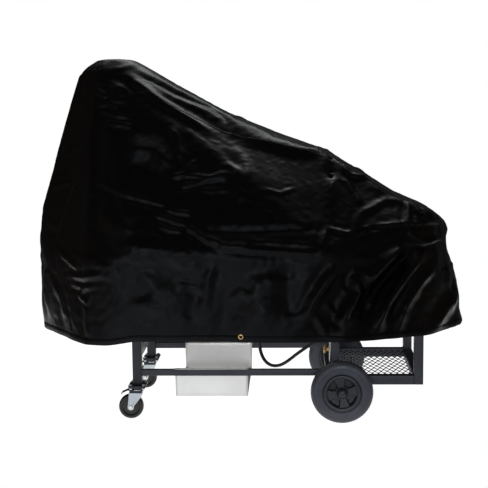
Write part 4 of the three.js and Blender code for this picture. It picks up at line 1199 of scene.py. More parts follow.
# line, depth in mm, width in mm, kind
BIG_FOLDS = [
    ([(180, 92), (235, 62), (335, 66), (412, 46)], 3, 12, "ridge"),
    ([(245, 66), (240, 180), (215, 330), (220, 520), (205, 640), (200, 760)], 6, 24, "ridge"),
    ([(335, 70), (370, 100), (440, 150), (500, 200), (600, 260), (700, 320), (742, 335)], 12, 20, "ridge"),
    ([(400, 92), (470, 116), (560, 166), (700, 222), (750, 256), (772, 292), (745, 333)], -8, 16, "ridge"),
    ([(778, 300), (880, 348), (960, 368), (1060, 396), (1148, 386)], 9, 26, "ridge"),
    ([(1146, 388), (1160, 450), (1170, 560), (1166, 690)], 9, 26, "ridge"),
    ([(540, 290), (590, 440)], 13, 20, "ridge"),
    ([(350, 380), (470, 395), (565, 470)], 17, 42, "ridge"),
    ([(290, 120), (330, 190), (350, 300)], 10, 34, "ridge"),
    ([(250, 640), (330, 700), (420, 720)], 10, 34, "ridge"),
    ([(700, 480), (800, 500), (840, 620)], 9, 40, "ridge"),
    ([(600, 880), (640, 980), (600, 1090)], -10, 40, "ridge"),
    ([(420, 860), (480, 960), (440, 1080)], 12, 46, "ridge"),
    ([(900, 880), (880, 980), (930, 1090)], 12, 44, "ridge"),
    ([(1010, 850), (1010, 960), (1020, 1090)], -10, 34, "ridge"),
    ([(225, 520), (330, 570), (400, 590), (500, 615), (600, 640)], 5, 14, "step"),
    ([(590, 698), (650, 740), (722, 792)], 9, 15, "step"),
    ([(640, 716), (850, 722), (1000, 714), (1160, 706)], -7, 18, "ridge"),
    ([(720, 794), (880, 801), (1000, 812), (1205, 826)], 8, 14, "step"),
    ([(1160, 704), (1150, 750), (1138, 800), (1152, 828)], 9, 12, "ridge"),
    ([(1160, 704), (1240, 726), (1272, 720)], 6, 11, "ridge"),
    ([(1270, 721), (1340, 702), (1480, 692), (1600, 690)], 7, 11, "step"),
    ([(1272, 716), (1300, 645), (1400, 592), (1488, 600)], 6, 15, "ridge"),
    ([(1490, 596), (1485, 680), (1500, 735), (1560, 762), (1622, 746)], 8, 12, "ridge"),
    ([(1300, 878), (1276, 910), (1290, 960), (1242, 1040), (1230, 1072), (1262, 1104)], 18, 17, "ridge"),
    ([(1480, 768), (1400, 840), (1338, 905), (1304, 880)], 20, 20, "ridge"),
    ([(1562, 788), (1500, 860), (1400, 1000), (1350, 1140)], 24, 24, "ridge"),
    ([(1604, 850), (1540, 915), (1480, 1010), (1436, 1140)], 18, 20, "ridge"),
    ([(1530, 780), (1430, 890), (1330, 1000), (1304, 1130)], -26, 34, "ridge"),
    ([(1700, 940), (1640, 1030), (1570, 1135)], 15, 30, "ridge"),
    ([(1204, 836), (1172, 900), (1112, 990), (1068, 1095)], 18, 20, "ridge"),
    ([(1260, 850), (1235, 930), (1190, 1010), (1180, 1130)], -14, 28, "ridge"),
    ([(200, 985), (206, 1060), (208, 1150)], 8, 22, "ridge"),
]
SMALL_FOLDS = [
    ([(236, 148), (276, 178), (250, 196)], 5, 9, "ridge"),
    ([(232, 216), (290, 204), (342, 222)], 5, 10, "ridge"),
    ([(250, 240), (320, 262), (372, 266)], 4, 9, "step"),
    ([(262, 276), (340, 292), (402, 300)], 4, 10, "ridge"),
    ([(300, 130), (360, 150), (400, 196)], 4, 13, "ridge"),
    ([(565, 497), (605, 470), (645, 428)], 6, 10, "ridge"),
    ([(520, 482), (560, 497), (606, 492), (690, 502), (770, 482)], 5, 9, "ridge"),
    ([(570, 505), (590, 545), (660, 526), (760, 508)], 5, 10, "step"),
    ([(640, 540), (700, 556), (790, 548)], 3, 10, "ridge"),
    ([(500, 622), (560, 640), (632, 648)], 5, 8, "ridge"),
    ([(470, 655), (560, 690), (608, 702)], 5, 9, "step"),
    ([(490, 690), (540, 712), (600, 716)], 4, 9, "ridge"),
    ([(680, 732), (742, 772), (860, 776)], 5, 10, "ridge"),
    ([(840, 756), (980, 766), (1130, 770)], 3, 9, "ridge"),
    ([(1300, 640), (1290, 590), (1240, 520), (1180, 470)], 5, 12, "ridge"),
    ([(1160, 392), (1222, 452), (1256, 492), (1326, 500)], 6, 12, "ridge"),
    ([(1230, 455), (1290, 468), (1340, 500)], 5, 9, "ridge"),
    ([(1500, 600), (1530, 640), (1570, 670), (1625, 682)], 5, 9, "ridge"),
    ([(1560, 640), (1600, 655), (1622, 676)], 4, 7, "ridge"),
    ([(900, 545), (980, 566), (1042, 541)], 3, 8, "ridge"),
    ([(780, 370), (832, 440), (852, 522)], 4, 20, "ridge"),
    ([(745, 440), (800, 470), (790, 520)], 3, 12, "ridge"),
    ([(90, 800), (140, 842), (172, 872)], 5, 11, "ridge"),
    ([(120, 897), (190, 902), (262, 890), (322, 920)], 6, 11, "ridge"),
    ([(130, 922), (192, 942), (244, 936)], 5, 9, "ridge"),
    ([(230, 850), (282, 866), (322, 902)], 5, 12, "ridge"),
    ([(202, 940), (174, 976), (206, 1002), (216, 968)], 6, 8, "ridge"),
    ([(720, 832), (690, 902), (680, 982), (658, 1044)], 5, 14, "ridge"),
    ([(560, 930), (620, 940), (682, 962)], 4, 13, "ridge"),
    ([(560, 850), (600, 862), (650, 850)], 3, 10, "ridge"),
    ([(770, 1000), (820, 958), (868, 990)], 4, 12, "ridge"),
    ([(1110, 1046), (1146, 1100), (1162, 1146)], 6, 11, "ridge"),
    ([(1150, 990), (1200, 1060), (1222, 1080)], 5, 10, "ridge"),
    ([(50, 880), (100, 985), (122, 1080)], 5, 16, "ridge"),
    ([(58, 545), (110, 528), (152, 520)], 4, 9, "ridge"),
    ([(44, 676), (70, 700), (98, 690)], 3, 10, "ridge"),
    ([(110, 410), (150, 395), (178, 370)], 3, 12, "ridge"),
    ([(180, 180), (200, 230), (196, 330)], 4, 12, "ridge"),
    ([(760, 250), (820, 262), (880, 300)], 4, 10, "ridge"),
    ([(1350, 1040), (1380, 960), (1440, 890)], 5, 10, "ridge"),
    ([(1470, 760), (1500, 774), (1560, 772), (1622, 748)], 6, 8, "step"),
    ([(350, 1020), (450, 1010), (520, 1040)], 3, 18, "ridge"),
    ([(300, 780), (420, 772), (540, 800)], 3, 18, "ridge"),
    ([(900, 900), (980, 930), (1060, 900)], 3, 18, "ridge"),
]

def to_picture(c):
    """Cart-frame points in mm as picture points."""
    p = (c - np.array([OX * 1000, OY * 1000, 0.0])) / 1000.0 - np.array(tuple(CAM_AT))
    f = 90.93 / 36.0 * 488
    depth = p @ np.array(tuple(-back))
    return 244 + f * (p @ np.array(tuple(r2))) / depth, 244 + f * (p @ np.array(tuple(d2))) / depth, depth


# how far the slack cloth sinks between the flue and the lid's corner, and from there to the nose, in picture pixels
SINK = [(120, 0), (132, 1), (140, 3), (152, 4.5), (164, 6), (176, 7.5), (188, 8.5), (200, 9.5), (212, 10.5), (224, 11.5), (236, 11.5), (248, 10.8), (260, 10), (272, 9.6), (284, 8.6), (296, 7), (308, 5.6), (320, 4), (332, 3.6), (344, 4.6), (356, 4.8), (368, 5), (380, 5.6), (392, 6.4), (404, 4.6), (416, 2.6), (428, 0.5), (440, 0)]
LEFT_OUT = [(60, 0), (70, 1.5), (90, 1.6), (120, 1.8), (150, 2.4), (208, 2.4), (232, -0.6), (250, 0.9), (256, 2.4), (292, 1.2), (316, 0.6), (330, 1.8), (345, 2.4)]
RIGHT_OUT = [(200, 0), (215, 1.0), (225, 0.5), (236, 0.0), (256, 0.6), (268, 0.0), (280, 0.8), (292, -0.6), (306, -0.8), (316, 0.4), (328, 1.6), (345, 1.6)]


def settle(me):
    """Draws the outline in where the slack cloth sinks, and out where its heavy lower edge spreads."""
    co = mesh_co(me)
    c = cart_mm(co)
    u, v, depth = to_picture(c)
    mm = depth * 1000 / (90.93 / 36.0 * 488)
    x, y, z = c[:, 0], c[:, 1], c[:, 2]
    bins = np.clip(((x + 450) / 12).astype(int), 0, 160)
    top = np.zeros(161)
    np.maximum.at(top, bins, z)
    for i in range(1, 160):
        if top[i] == 0:
            top[i] = top[i - 1]
    top = np.convolve(np.pad(top, 2, mode="edge"), np.ones(5) / 5, mode="valid")
    zt = np.interp((x + 450) / 12 - 0.5, np.arange(161), top)
    sink = np.interp(u, [p for p, _ in SINK], [d for _, d in SINK]) * mm
    keep = np.where(x > 816, 0.55, 1.0)
    c[:, 2] -= sink * step01(z, zt - 260 * keep, zt - 60 * keep)
    out = np.interp(v, [p for p, _ in LEFT_OUT], [d for _, d in LEFT_OUT]) * mm
    wide = np.where(z > 1000, 60.0, 150.0)
    lx = np.interp(z, [330, 740, 1411, 1470], [-410, -412, -229, -150])
    c[:, 0] -= out * (1 - step01(x - lx, 10, wide))
    out = np.interp(v, [p for p, _ in RIGHT_OUT], [d for _, d in RIGHT_OUT]) * mm
    rx = np.interp(z, [360, 560, 690, 785], [1384, 1335, 1300, 1300])
    c[:, 0] += out * step01(x - rx, -160, -10) * (z < 860)
    # the lower edge hangs deeper at the caster end
    low = 1 - step01(z, 366, 620)
    c[:, 2] -= low * (20 * (1 - step01(x, -90, 60)) + 8 * step01(y, 60, 220) * (1 - step01(x, -380, -300)) + 8 * step01(x, 1240, 1370))
    # slow waves in the skirt
    for i in range(len(c)):
        p = c[i]
        k = low[i]
        if k > 0.01 or (p[1] < 60 and p[2] < 1300):
            q = Vector((p[0] / 210.0, p[1] / 210.0, p[2] / 330.0))
            a = noise.noise(q) * 22.0 + noise.noise(q * 2.3 + Vector((7.1, 3.3, 1.9))) * 8.0
            out_k = 0.25 + 0.75 * min(1.0, max(0.0, (900 - p[2]) / 420.0))
            dx, dy = p[0] - 490, (p[1] - 235) * 1.9
            d = math.hypot(dx, dy) or 1.0
            c[i, 0] += a * out_k * dx / d * 0.8
            c[i, 1] += a * out_k * dy / d
    set_co(me, (c - np.array([OX * 1000, OY * 1000, 0.0])) / 1000.0)


def edge_loop(me):
    """The cloth's lower edge as one ordered loop of vertex numbers."""
    bm = bmesh.new()
    bm.from_mesh(me)
    bm.verts.ensure_lookup_table()
    rim = {}
    for e in bm.edges:
        if len(e.link_faces) == 1:
            a, b_ = e.verts[0].index, e.verts[1].index
            rim.setdefault(a, []).append(b_)
            rim.setdefault(b_, []).append(a)
    loops = []
    left = set(rim)
    while left:
        start = left.pop()
        loop, prev, cur = [start], None, start
        while True:
            nxt = [n for n in rim[cur] if n != prev and n in left]
            if not nxt:
                break
            prev, cur = cur, nxt[0]
            left.discard(cur)
            loop.append(cur)
        loops.append(loop)
    bm.free()
    return max(loops, key=len)


def band(name, rows, mat, closed=True):
    """A strip from rows of cross-sections, each a list of points, joined one to the next."""
    n, m = len(rows), len(rows[0])
    verts = [p for r in rows for p in r]
    faces = []
    for i in range(n if closed else n - 1):
        j = (i + 1) % n
        for k in range(m):
            k2 = (k + 1) % m
            faces.append((i * m + k, i * m + k2, j * m + k2, j * m + k))
    if not closed:
        faces.append(tuple(range(m)))
        faces.append(tuple((n - 1) * m + k for k in reversed(range(m))))
    me = bpy.data.meshes.new(name)
    me.from_pydata([tuple(v) for v in verts], [], faces)
    bm = bmesh.new()
    bm.from_mesh(me)
    bmesh.ops.recalc_face_normals(bm, faces=bm.faces)
    bm.to_mesh(me)
    bm.free()
    return put(name, me, mat, "cover", (), True, 60)


def stitches(name, line, pitch=6.0, long=4.0, wide=0.9, high=0.5, mat="thread"):
    """Separate sewn stitches along a line of (point, normal)."""
    verts, faces = [], []
    acc, nxt = 0.0, pitch / 2000
    for i in range(len(line) - 1):
        (pa, na), (pb, _) = line[i], line[i + 1]
        d = pb - pa
        L = d.length
        if L < 1e-7:
            continue
        t = d / L
        while nxt <= acc + L:
            p = pa + t * (nxt - acc)
            s = t.cross(na).normalized() * wide / 2000
            h = na * high / 1000
            e = t * long / 2000
            b0 = len(verts)
            verts += [p - e - s * 0.4, p - e + s * 0.4, p - s, p + s, p + e - s * 0.4, p + e + s * 0.4, p - s * 0.5 + h, p + s * 0.5 + h]
            faces += [(b0, b0 + 2, b0 + 6), (b0 + 1, b0 + 7, b0 + 3), (b0, b0 + 6, b0 + 7, b0 + 1), (b0 + 2, b0 + 4, b0 + 6), (b0 + 3, b0 + 7, b0 + 5), (b0 + 4, b0 + 5, b0 + 7, b0 + 6)]
            nxt += pitch / 1000
        acc += L
    if not verts:
        return None
    me = bpy.data.meshes.new(name)
    me.from_pydata([tuple(v) for v in verts], [], faces)
    return put(name, me, mat, "cover", (), True, 50)


def smooth_line(line, times=3):
    pts = [p.copy() for p, _ in line]
    nor = [n.copy() for _, n in line]
    for _ in range(times):
        pts = [pts[0]] + [(pts[i - 1] + pts[i] * 2 + pts[i + 1]) / 4 for i in range(1, len(pts) - 1)] + [pts[-1]]
        nor = [nor[0]] + [(nor[i - 1] + nor[i] * 2 + nor[i + 1]).normalized() for i in range(1, len(nor) - 1)] + [nor[-1]]
    return list(zip(pts, nor))


def seam(name, surface, line, width=9.0):
    """A flat felled seam: a raised strip with a row of stitches near each edge."""
    line = smooth_line(surface.nearest([p for p, _ in smooth_line(line)]), 2)
    if len(line) < 4:
        return []
    rows, left, right_ = [], [], []
    for i, (p, n) in enumerate(line):
        a, b_ = line[max(0, i - 1)][0], line[min(len(line) - 1, i + 1)][0]
        t = (b_ - a).normalized()
        s = t.cross(n).normalized()
        h = width / 2000
        rows.append([p - s * h + n * 0.0001, p - s * h * 0.8 + n * 0.0011, p - s * h * 0.25 + n * 0.0013, p + s * h * 0.25 + n * 0.0013, p + s * h * 0.8 + n * 0.0011, p + s * h + n * 0.0001, p - n * 0.0006])
        left.append((p - s * h * 0.62 + n * 0.0012, n))
        right_.append((p + s * h * 0.62 + n * 0.0012, n))
    out = [band(name, rows, "binding", closed=False)]
    for side_, ln in (("a", left), ("b", right_)):
        st = stitches(f"{name}_stitch_{side_}", ln)
        if st:
            out.append(st)
    return out


def eyelet(name, at, n, up_):
    """A rolled brass ring, both its halves, round a hole in the cloth."""
    s = n.cross(up_).normalized()
    u_ = s.cross(n).normalized()
    prof = [(6.2, -2.6), (10.2, -2.7), (10.9, -2.2), (10.6, -1.6), (7.0, -1.5), (6.4, -0.6), (6.4, 0.2), (6.9, 0.6), (10.7, 0.7), (11.2, 1.2), (10.6, 1.9), (9.0, 2.3), (7.2, 2.2), (5.9, 1.4), (5.5, 0.2), (5.5, -1.8)]
    segs = 40
    rows = []
    for i in range(segs):
        a = 2 * math.pi * i / segs
        d = s * math.cos(a) + u_ * math.sin(a)
        rows.append([at + d * r / 1000 + n * h / 1000 for r, h in prof])
    ob = band(name, rows, "brass", True)
    return ob


def open_hole(me, at, r=0.0085):
    """Opens a round hole in the cloth under an eyelet."""
    bm = bmesh.new()
    bm.from_mesh(me)
    inside = [v for v in bm.verts if (v.co - at).length < r]
    if inside:
        bmesh.ops.delete(bm, geom=inside, context="VERTS")
    else:
        near = sorted((f for f in bm.faces), key=lambda f: (f.calc_center_median() - at).length)[:1]
        bmesh.ops.delete(bm, geom=near, context="FACES")
    for v in bm.verts:
        if v.is_boundary and (v.co - at).length < r * 2.6:
            d = v.co - at
            v.co = at + d.normalized() * r
    bm.to_mesh(me)
    bm.free()


cover_me = cover_base(0.016)
cover = bpy.data.objects.new("cover_cloth", cover_me)
SCENE.collection.objects.link(cover)
print("drape", len(cover_me.vertices), drape(cover, 26))
cover.data = finer(cover.data)
cover.data.name = "cover_cloth"
settle(cover.data)
cloth = Surface(cover.data)
for group in (BIG_FOLDS, SMALL_FOLDS):
    bold = 1.0 if group is BIG_FOLDS else 1.35
    lines = [(cloth.seen(pic(p)), d * bold, w * (bold + 1) / 2, k) for p, d, w, k in group]
    for ln, d, w, k in lines:
        cloth.fold(ln, d, w, k)
    cloth.write()



def cast(pts, way, first, second):
    """A line of cart points in mm, given by two coordinates, thrown onto the cloth from outside."""
    out = []
    for i in range(len(pts) - 1):
        (ua, va), (ub, vb) = pts[i], pts[i + 1]
        m = max(2, int(math.hypot(ub - ua, vb - va) / 8))
        for k in range(m if i < len(pts) - 2 else m + 1):
            q = [0.0, 0.0, 0.0]
            q[first] = ua + (ub - ua) * k / m
            q[second] = va + (vb - va) * k / m
            o = Vector(W(*q))
            for j in range(3):
                if way[j]:
                    o[j] = -3.0 * way[j]
            loc, nor, _, _ = cloth.tree.ray_cast(o, Vector(way))
            if loc is not None:
                out.append((loc.copy(), nor.copy()))
    return out


# folds on the sides that the picture does not show
HIDDEN_FOLDS = [
    ((0, -1, 0), 0, 2, [
        ([(-160, 1350), (-40, 1180), (60, 980)], 13, 34), ([(60, 1320), (300, 1150), (560, 1000)], 11, 28),
        ([(200, 1010), (420, 950), (640, 930)], 9, 24), ([(-300, 780), (-120, 740), (60, 700)], 11, 26),
        ([(700, 900), (760, 780), (740, 640)], 13, 34), ([(960, 760), (1060, 640), (1100, 470)], 15, 32),
        ([(1180, 700), (1220, 560), (1200, 420)], 15, 30), ([(-320, 660), (-300, 520), (-330, 400)], 13, 32),
        ([(-120, 620), (-80, 500), (-110, 390)], 13, 36), ([(180, 640), (220, 500), (200, 385)], 13, 40),
        ([(470, 640), (450, 520), (480, 385)], -11, 36), ([(820, 600), (800, 480), (840, 385)], 12, 38)]),
    ((1, 0, 0), 1, 2, [
        ([(200, 1300), (180, 1000), (220, 760)], 5, 26), ([(330, 1250), (350, 980), (310, 700)], 6, 28),
        ([(120, 640), (160, 520), (130, 400)], 6, 26), ([(300, 650), (280, 520), (300, 400)], -6, 30), ([(420, 640), (440, 520), (430, 400)], 7, 28)]),
    ((-1, 0, 0), 1, 2, [
        ([(150, 640), (120, 520), (140, 400)], 6, 28), ([(280, 660), (300, 520), (280, 400)], 8, 30),
        ([(420, 650), (440, 520), (430, 400)], 8, 28), ([(200, 760), (262, 745), (340, 765)], 6, 20)]),
]
for way, first, second, group in HIDDEN_FOLDS:
    lines = [(cast(p, way, first, second), d, w) for p, d, w in group]
    for ln, d, w in lines:
        cloth.fold(ln, d, w, "ridge")
    cloth.write()


def keep_off(gap=0.005, deepest=0.06):
    """Lifts the cloth off everything hard under it: no corner of the cooker comes through."""
    moved = 0
    for name, ob in NODES.items():
        if name.startswith("cover"):
            continue
        cs = [v.co for v in ob.data.vertices]
        if max(c.z for c in cs) < 0.40:
            continue
        bm = bmesh.new()
        for c in cs:
            bm.verts.new(c)
        got = bmesh.ops.convex_hull(bm, input=bm.verts)
        loose = [g for g in got["geom_interior"] + got["geom_unused"] if isinstance(g, bmesh.types.BMVert)]
        bmesh.ops.delete(bm, geom=list(set(loose)), context="VERTS")
        bmesh.ops.recalc_face_normals(bm, faces=bm.faces)
        tree = BVHTree.FromBMesh(bm)
        bm.free()
        A = np.array([tuple(c) for c in cs])
        lo, hi = A.min(0) - gap, A.max(0) + gap
        for i in np.where(np.all((cloth.co > lo) & (cloth.co < hi), axis=1))[0]:
            p = Vector(cloth.co[i])
            loc, n, _, _ = tree.find_nearest(p)
            if loc is None:
                continue
            d = (p - loc).dot(n)
            if -deepest < d < gap:
                to = loc + n * gap
                if d < 0:
                    # out the shortest way that cloth would hang: over the top or down the front or back, and round an end only at the ends
                    ways = [Vector((0, 0, 1)), Vector((0, -1 if p.y < 0 else 1, 0))]
                    if name != "cooking_lid":
                        ways.append(Vector((-1 if p.x < 0 else 1, 0, 0)))
                    best_ = None
                    for w_ in ways:
                        out_, _, _, far_ = tree.ray_cast(p, w_)
                        if out_ is not None and (best_ is None or far_ < best_[0]):
                            best_ = (far_, out_ + w_ * gap)
                    if best_ and best_[0] < deepest:
                        to = best_[1]
                cloth.co[i] = tuple(to)
                touched.add(int(i))
                moved += 1
    cloth.write()
    return moved


def ease(rings=7, times=9):
    """Evens the cloth round the places just lifted."""
    bm = bmesh.new()
    bm.from_mesh(cover.data)
    bm.verts.ensure_lookup_table()
    area_ = set(touched)
    for _ in range(rings):
        area_ |= {e.other_vert(bm.verts[i]).index for i in area_ for e in bm.verts[i].link_edges}
    area_ = [i for i in area_ if not bm.verts[i].is_boundary]
    for _ in range(times):
        new = {}
        for i in area_:
            v = bm.verts[i]
            m = sum((e.other_vert(v).co for e in v.link_edges), Vector()) / len(v.link_edges)
            new[i] = v.co * 0.4 + m * 0.6
        for i, c in new.items():
            bm.verts[i].co = c
    bm.to_mesh(cover.data)
    bm.free()
    cloth.refresh()


touched = set()
for turn in range(3):
    print("cloth lifted off the cooker", keep_off(0.006))
    ease()
print("cloth lifted off the cooker", keep_off(0.003))

soft_bits = []
# hem: turned up and sewn all round
loop = edge_loop(cover.data)
me = cover.data
pts = [me.vertices[i].co.copy() for i in loop]
rows, hem_line, hem_line2 = [], [], []
step_ = 2
idx = list(range(0, len(pts), step_))
for i in idx:
    p = pts[i]
    loc, n, _, _ = cloth.tree.find_nearest(p + Vector((0, 0, 0.012)))
    n = Vector((n.x, n.y, n.z * 0.3)).normalized()
    loc2, n2, _, _ = cloth.tree.find_nearest(p + Vector((0, 0, 0.025)))
    n2 = Vector((n2.x, n2.y, n2.z * 0.3)).normalized()
    a, b_, c_ = p, loc, loc2
    rows.append([c_ + n2 * 0.0002, c_ + n2 * 0.0014 - Vector((0, 0, 0.001)), b_ + n * 0.0016, a + n * 0.0016 + Vector((0, 0, 0.0012)), a + n * 0.0006 - Vector((0, 0, 0.0008)), a - n * 0.0018 - Vector((0, 0, 0.0008)), a - n * 0.0028 + Vector((0, 0, 0.0012)), b_ - n * 0.0026, c_ - n2 * 0.0026, c_ - n2 * 0.0012 + Vector((0, 0, 0.001))])
    hem_line.append((c_ + n2 * 0.0014 - Vector((0, 0, 0.0035)), n2))
    hem_line2.append((a + n * 0.0016 + Vector((0, 0, 0.0050)), n))
soft_bits.append(band("cover_hem", rows, "binding", True))
for nm, ln in (("cover_hem_stitch_a", hem_line + hem_line[:1]), ("cover_hem_stitch_b", hem_line2 + hem_line2[:1])):
    st = stitches(nm, ln)
    if st:
        soft_bits.append(st)

# seams, as drawn from the front, and their mirror images on the far side
SEAMS = {
    "end_seam": [(236, 64), (190, 180), (185, 360), (155, 520), (105, 660), (79, 780), (86, 880), (112, 1000), (142, 1120)],
    "nose_seam": [(1490, 600), (1485, 680), (1500, 735), (1560, 764), (1622, 748)],
}
drawn = {name: cloth.seen(pic(p), 0.008) for name, p in SEAMS.items()}
drawn["roof_seam"] = cast([(30, 110), (200, 92), (500, 84), (820, 84), (1000, 88), (1150, 96), (1270, 118)], (0, 0, -1), 0, 1)
for name, line in drawn.items():
    soft_bits += seam("cover_" + name, cloth, line)
    mirrored = []
    for q, n in line:
        m = Vector((q.x, 2 * (0.262 - OY) - q.y, q.z))
        mirrored.append((m, Vector((n.x, -n.y, n.z))))
    soft_bits += seam("cover_" + name + "_far", cloth, mirrored)

# the brass eyelets in the hem, front and back
hit, nor, _, _ = cloth.tree.ray_cast(CAM_AT, ray(240.8, 336.6))
spots = [("cover_eyelet_front", hit, nor)]
loc, nor2, _, _ = cloth.tree.find_nearest(Vector((hit.x, 0.60, hit.z)))
spots.append(("cover_eyelet_back", loc, nor2))
for nm, p, n in spots:
    n = Vector((n.x, n.y, n.z * 0.5)).normalized()
    soft_bits.append(eyelet(nm, p + n * 0.0008, n, Vector((0, 0, 1))))
    open_hole(cover.data, p.copy())

me = cover.data
me.materials.clear()
me.materials.append(M["cover_vinyl"])
me.materials.append(M["lining"])
skin = cover.modifiers.new("skin", "SOLIDIFY")
skin.thickness = 0.0012
skin.offset = -1
skin.material_offset = 1
skin.material_offset_rim = 0
for p in me.polygons:
    p.use_smooth = True
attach(cover, "cover")
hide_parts("cover_front_panel", "cover_back_panel", "cover_left_band", "cover_top_band", "cover_right_band")

# ------------------------------------------------------------- floor and light
fl = bpy.data.meshes.new("floor")
fl.from_pydata([(-1.9, -0.46, -0.0005), (1.8, -0.46, -0.0005), (1.8, 1.8, -0.0005), (-1.9, 1.8, -0.0005)], [], [(0, 1, 2, 3)])
floor = bpy.data.objects.new("floor", fl)
SCENE.collection.objects.link(floor)
fm = bpy.data.materials.new("floor_paper")
fm.use_nodes = True
fb = fm.node_tree.nodes["Principled BSDF"]
fb.inputs["Base Color"].default_value = (0.30, 0.30, 0.30, 1)
fb.inputs["Roughness"].default_value = 0.95
fb.inputs["Specular IOR Level"].default_value = 0.0
fb.inputs["Emission Color"].default_value = (1, 1, 1, 1)
fb.inputs["Emission Strength"].default_value = 0.985
floor.data.materials.append(fm)
# the floor in front, fading out towards the eye and to the right: only its light and its reflection are seen, against the white room
fc = bpy.data.meshes.new("floor_front")
fc.from_pydata([(-1.9, -4.2, -0.0005), (2.6, -4.2, -0.0005), (2.6, -0.46, -0.0005), (-1.9, -0.46, -0.0005)], [], [(0, 1, 2, 3)])
front = bpy.data.objects.new("floor_front", fc)
SCENE.collection.objects.link(front)
cm = bpy.data.materials.new("floor_front_paper")
cm.use_nodes = True
ct = cm.node_tree
cb = ct.nodes["Principled BSDF"]
cb.inputs["Base Color"].default_value = (0.30, 0.30, 0.30, 1)
cb.inputs["Roughness"].default_value = 0.95
cb.inputs["Specular IOR Level"].default_value = 0.0
cg = ct.nodes.new("ShaderNodeNewGeometry")
cs = ct.nodes.new("ShaderNodeSeparateXYZ")
ct.links.new(cg.outputs["Position"], cs.inputs[0])
fy = ct.nodes.new("ShaderNodeMapRange")
fy.inputs[1].default_value, fy.inputs[2].default_value = -3.6, -0.62
fy.inputs[3].default_value, fy.inputs[4].default_value = 0.22, 0.85
fx = ct.nodes.new("ShaderNodeMapRange")
fx.inputs[1].default_value, fx.inputs[2].default_value = -0.55, 0.7
fx.inputs[3].default_value, fx.inputs[4].default_value = 1.0, 0.10
ct.links.new(cs.outputs["Y"], fy.inputs[0])
ct.links.new(cs.outputs["X"], fx.inputs[0])
fmul = ct.nodes.new("ShaderNodeMath")
fmul.operation = "MULTIPLY"
ct.links.new(fy.outputs[0], fmul.inputs[0])
ct.links.new(fx.outputs[0], fmul.inputs[1])
cb.inputs["Emission Color"].default_value = (0.93, 0.97, 1.05, 1)
ct.links.new(fmul.outputs[0], cb.inputs["Emission Strength"])
front.data.materials.append(cm)
front.visible_camera = False

# A white room to the eye; what the object is lit by is a dim room with warm side walls and one softbox overhead.
world = bpy.data.worlds.new("studio")
SCENE.world = world
world.use_nodes = True
wt = world.node_tree
bg = wt.nodes["Background"]
tc = wt.nodes.new("ShaderNodeTexCoord")
sp3 = wt.nodes.new("ShaderNodeSeparateXYZ")
wt.links.new(tc.outputs["Generated"], sp3.inputs[0])
up = wt.nodes.new("ShaderNodeValToRGB")
wt.links.new(sp3.outputs["Z"], up.inputs[0])
el = up.color_ramp.elements
el[0].position, el[0].color = 0.0, (0.25, 0.265, 0.30, 1)
el[1].position, el[1].color = 1.0, (0.30, 0.30, 0.30, 1)
for p, c in ((0.10, (0.13, 0.14, 0.16)), (0.28, (0.045, 0.045, 0.05)), (0.86, (0.045, 0.045, 0.045))):
    e = el.new(p)
    e.color = (*c, 1)
ab = wt.nodes.new("ShaderNodeMath")
ab.operation = "ABSOLUTE"
wt.links.new(sp3.outputs["X"], ab.inputs[0])
side = wt.nodes.new("ShaderNodeMapRange")
side.inputs[1].default_value, side.inputs[2].default_value = 0.45, 0.95
side.inputs[3].default_value, side.inputs[4].default_value = 0.0, 1.0
wt.links.new(ab.outputs[0], side.inputs[0])
mixw = wt.nodes.new("ShaderNodeMixRGB")
mixw.inputs[2].default_value = (0.15, 0.118, 0.095, 1)
wt.links.new(side.outputs[0], mixw.inputs[0])
wt.links.new(up.outputs[0], mixw.inputs[1])
rear = wt.nodes.new("ShaderNodeMapRange")
rear.inputs[1].default_value, rear.inputs[2].default_value = -0.2, 0.5
rear.inputs[3].default_value, rear.inputs[4].default_value = 1.0, 0.22
wt.links.new(sp3.outputs["Y"], rear.inputs[0])
dim = wt.nodes.new("ShaderNodeMixRGB")
dim.blend_type = "MULTIPLY"
dim.inputs[0].default_value = 1.0
wt.links.new(mixw.outputs[0], dim.inputs[1])
wt.links.new(rear.outputs[0], dim.inputs[2])
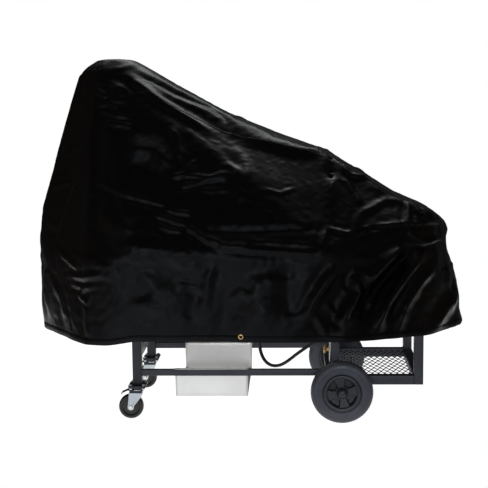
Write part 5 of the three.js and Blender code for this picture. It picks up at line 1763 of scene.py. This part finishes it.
lp = wt.nodes.new("ShaderNodeLightPath")
mixc = wt.nodes.new("ShaderNodeMixRGB")
mixc.inputs[2].default_value = (1.0, 1.0, 1.0, 1)
wt.links.new(lp.outputs["Is Camera Ray"], mixc.inputs[0])
wt.links.new(dim.outputs[0], mixc.inputs[1])
wt.links.new(mixc.outputs[0], bg.inputs["Color"])
bg.inputs["Strength"].default_value = 1.0


def area(name, loc, target, size, size_y, power, colour=(1, 1, 1)):
    l = bpy.data.lights.new(name, "AREA")
    l.shape = "RECTANGLE"
    l.size = size
    l.size_y = size_y
    l.energy = power
    l.color = colour
    o = bpy.data.objects.new(name, l)
    SCENE.collection.objects.link(o)
    o.location = loc
    o.rotation_euler = (Vector(target) - Vector(loc)).to_track_quat("-Z", "Y").to_euler()
    return o


area("softbox_top", (0.1, 1.9, 4.2), (0.05, 0.0, 0.7), 3.6, 1.9, 90, (0.97, 0.985, 1.0))
area("softbox_front", (-1.2, -7.0, 1.0), (0.0, 0.0, 0.4), 3.4, 1.5, 30, (0.88, 0.94, 1.0))
low = area("softbox_low_front", (-0.5, -2.4, 0.78), (-0.15, 0.2, 0.17), 2.0, 0.5, 44, (0.95, 0.97, 1.0))
low.visible_camera = False
# it lights only the pan's steel, which the cover's edge would otherwise leave in the dark
lit = bpy.data.collections.new("low_light_receivers")
for o in SCENE.objects:
    if o.type == "MESH" and (o.name.startswith("drip_pan")):
        lit.objects.link(o)
low.light_linking.receiver_collection = lit
# and a weaker one the wheels and the frame's shelf end
low2 = area("softbox_low_side", (0.6, -2.6, 0.8), (0.35, -0.2, 0.15), 2.0, 0.6, 20, (0.88, 0.93, 1.05))
low2.visible_camera = False
lit2 = bpy.data.collections.new("side_light_receivers")
for o in SCENE.objects:
    if o.type == "MESH" and any(w_ in o.name for w_ in ("tyre_fine", "rim_fine", "axle_cap", "post_tube", "mid_tube", "shelf_rail_tube", "low_rail_tube")):
        lit2.objects.link(o)
low2.light_linking.receiver_collection = lit2
SCENE.view_settings.view_transform = "Standard"
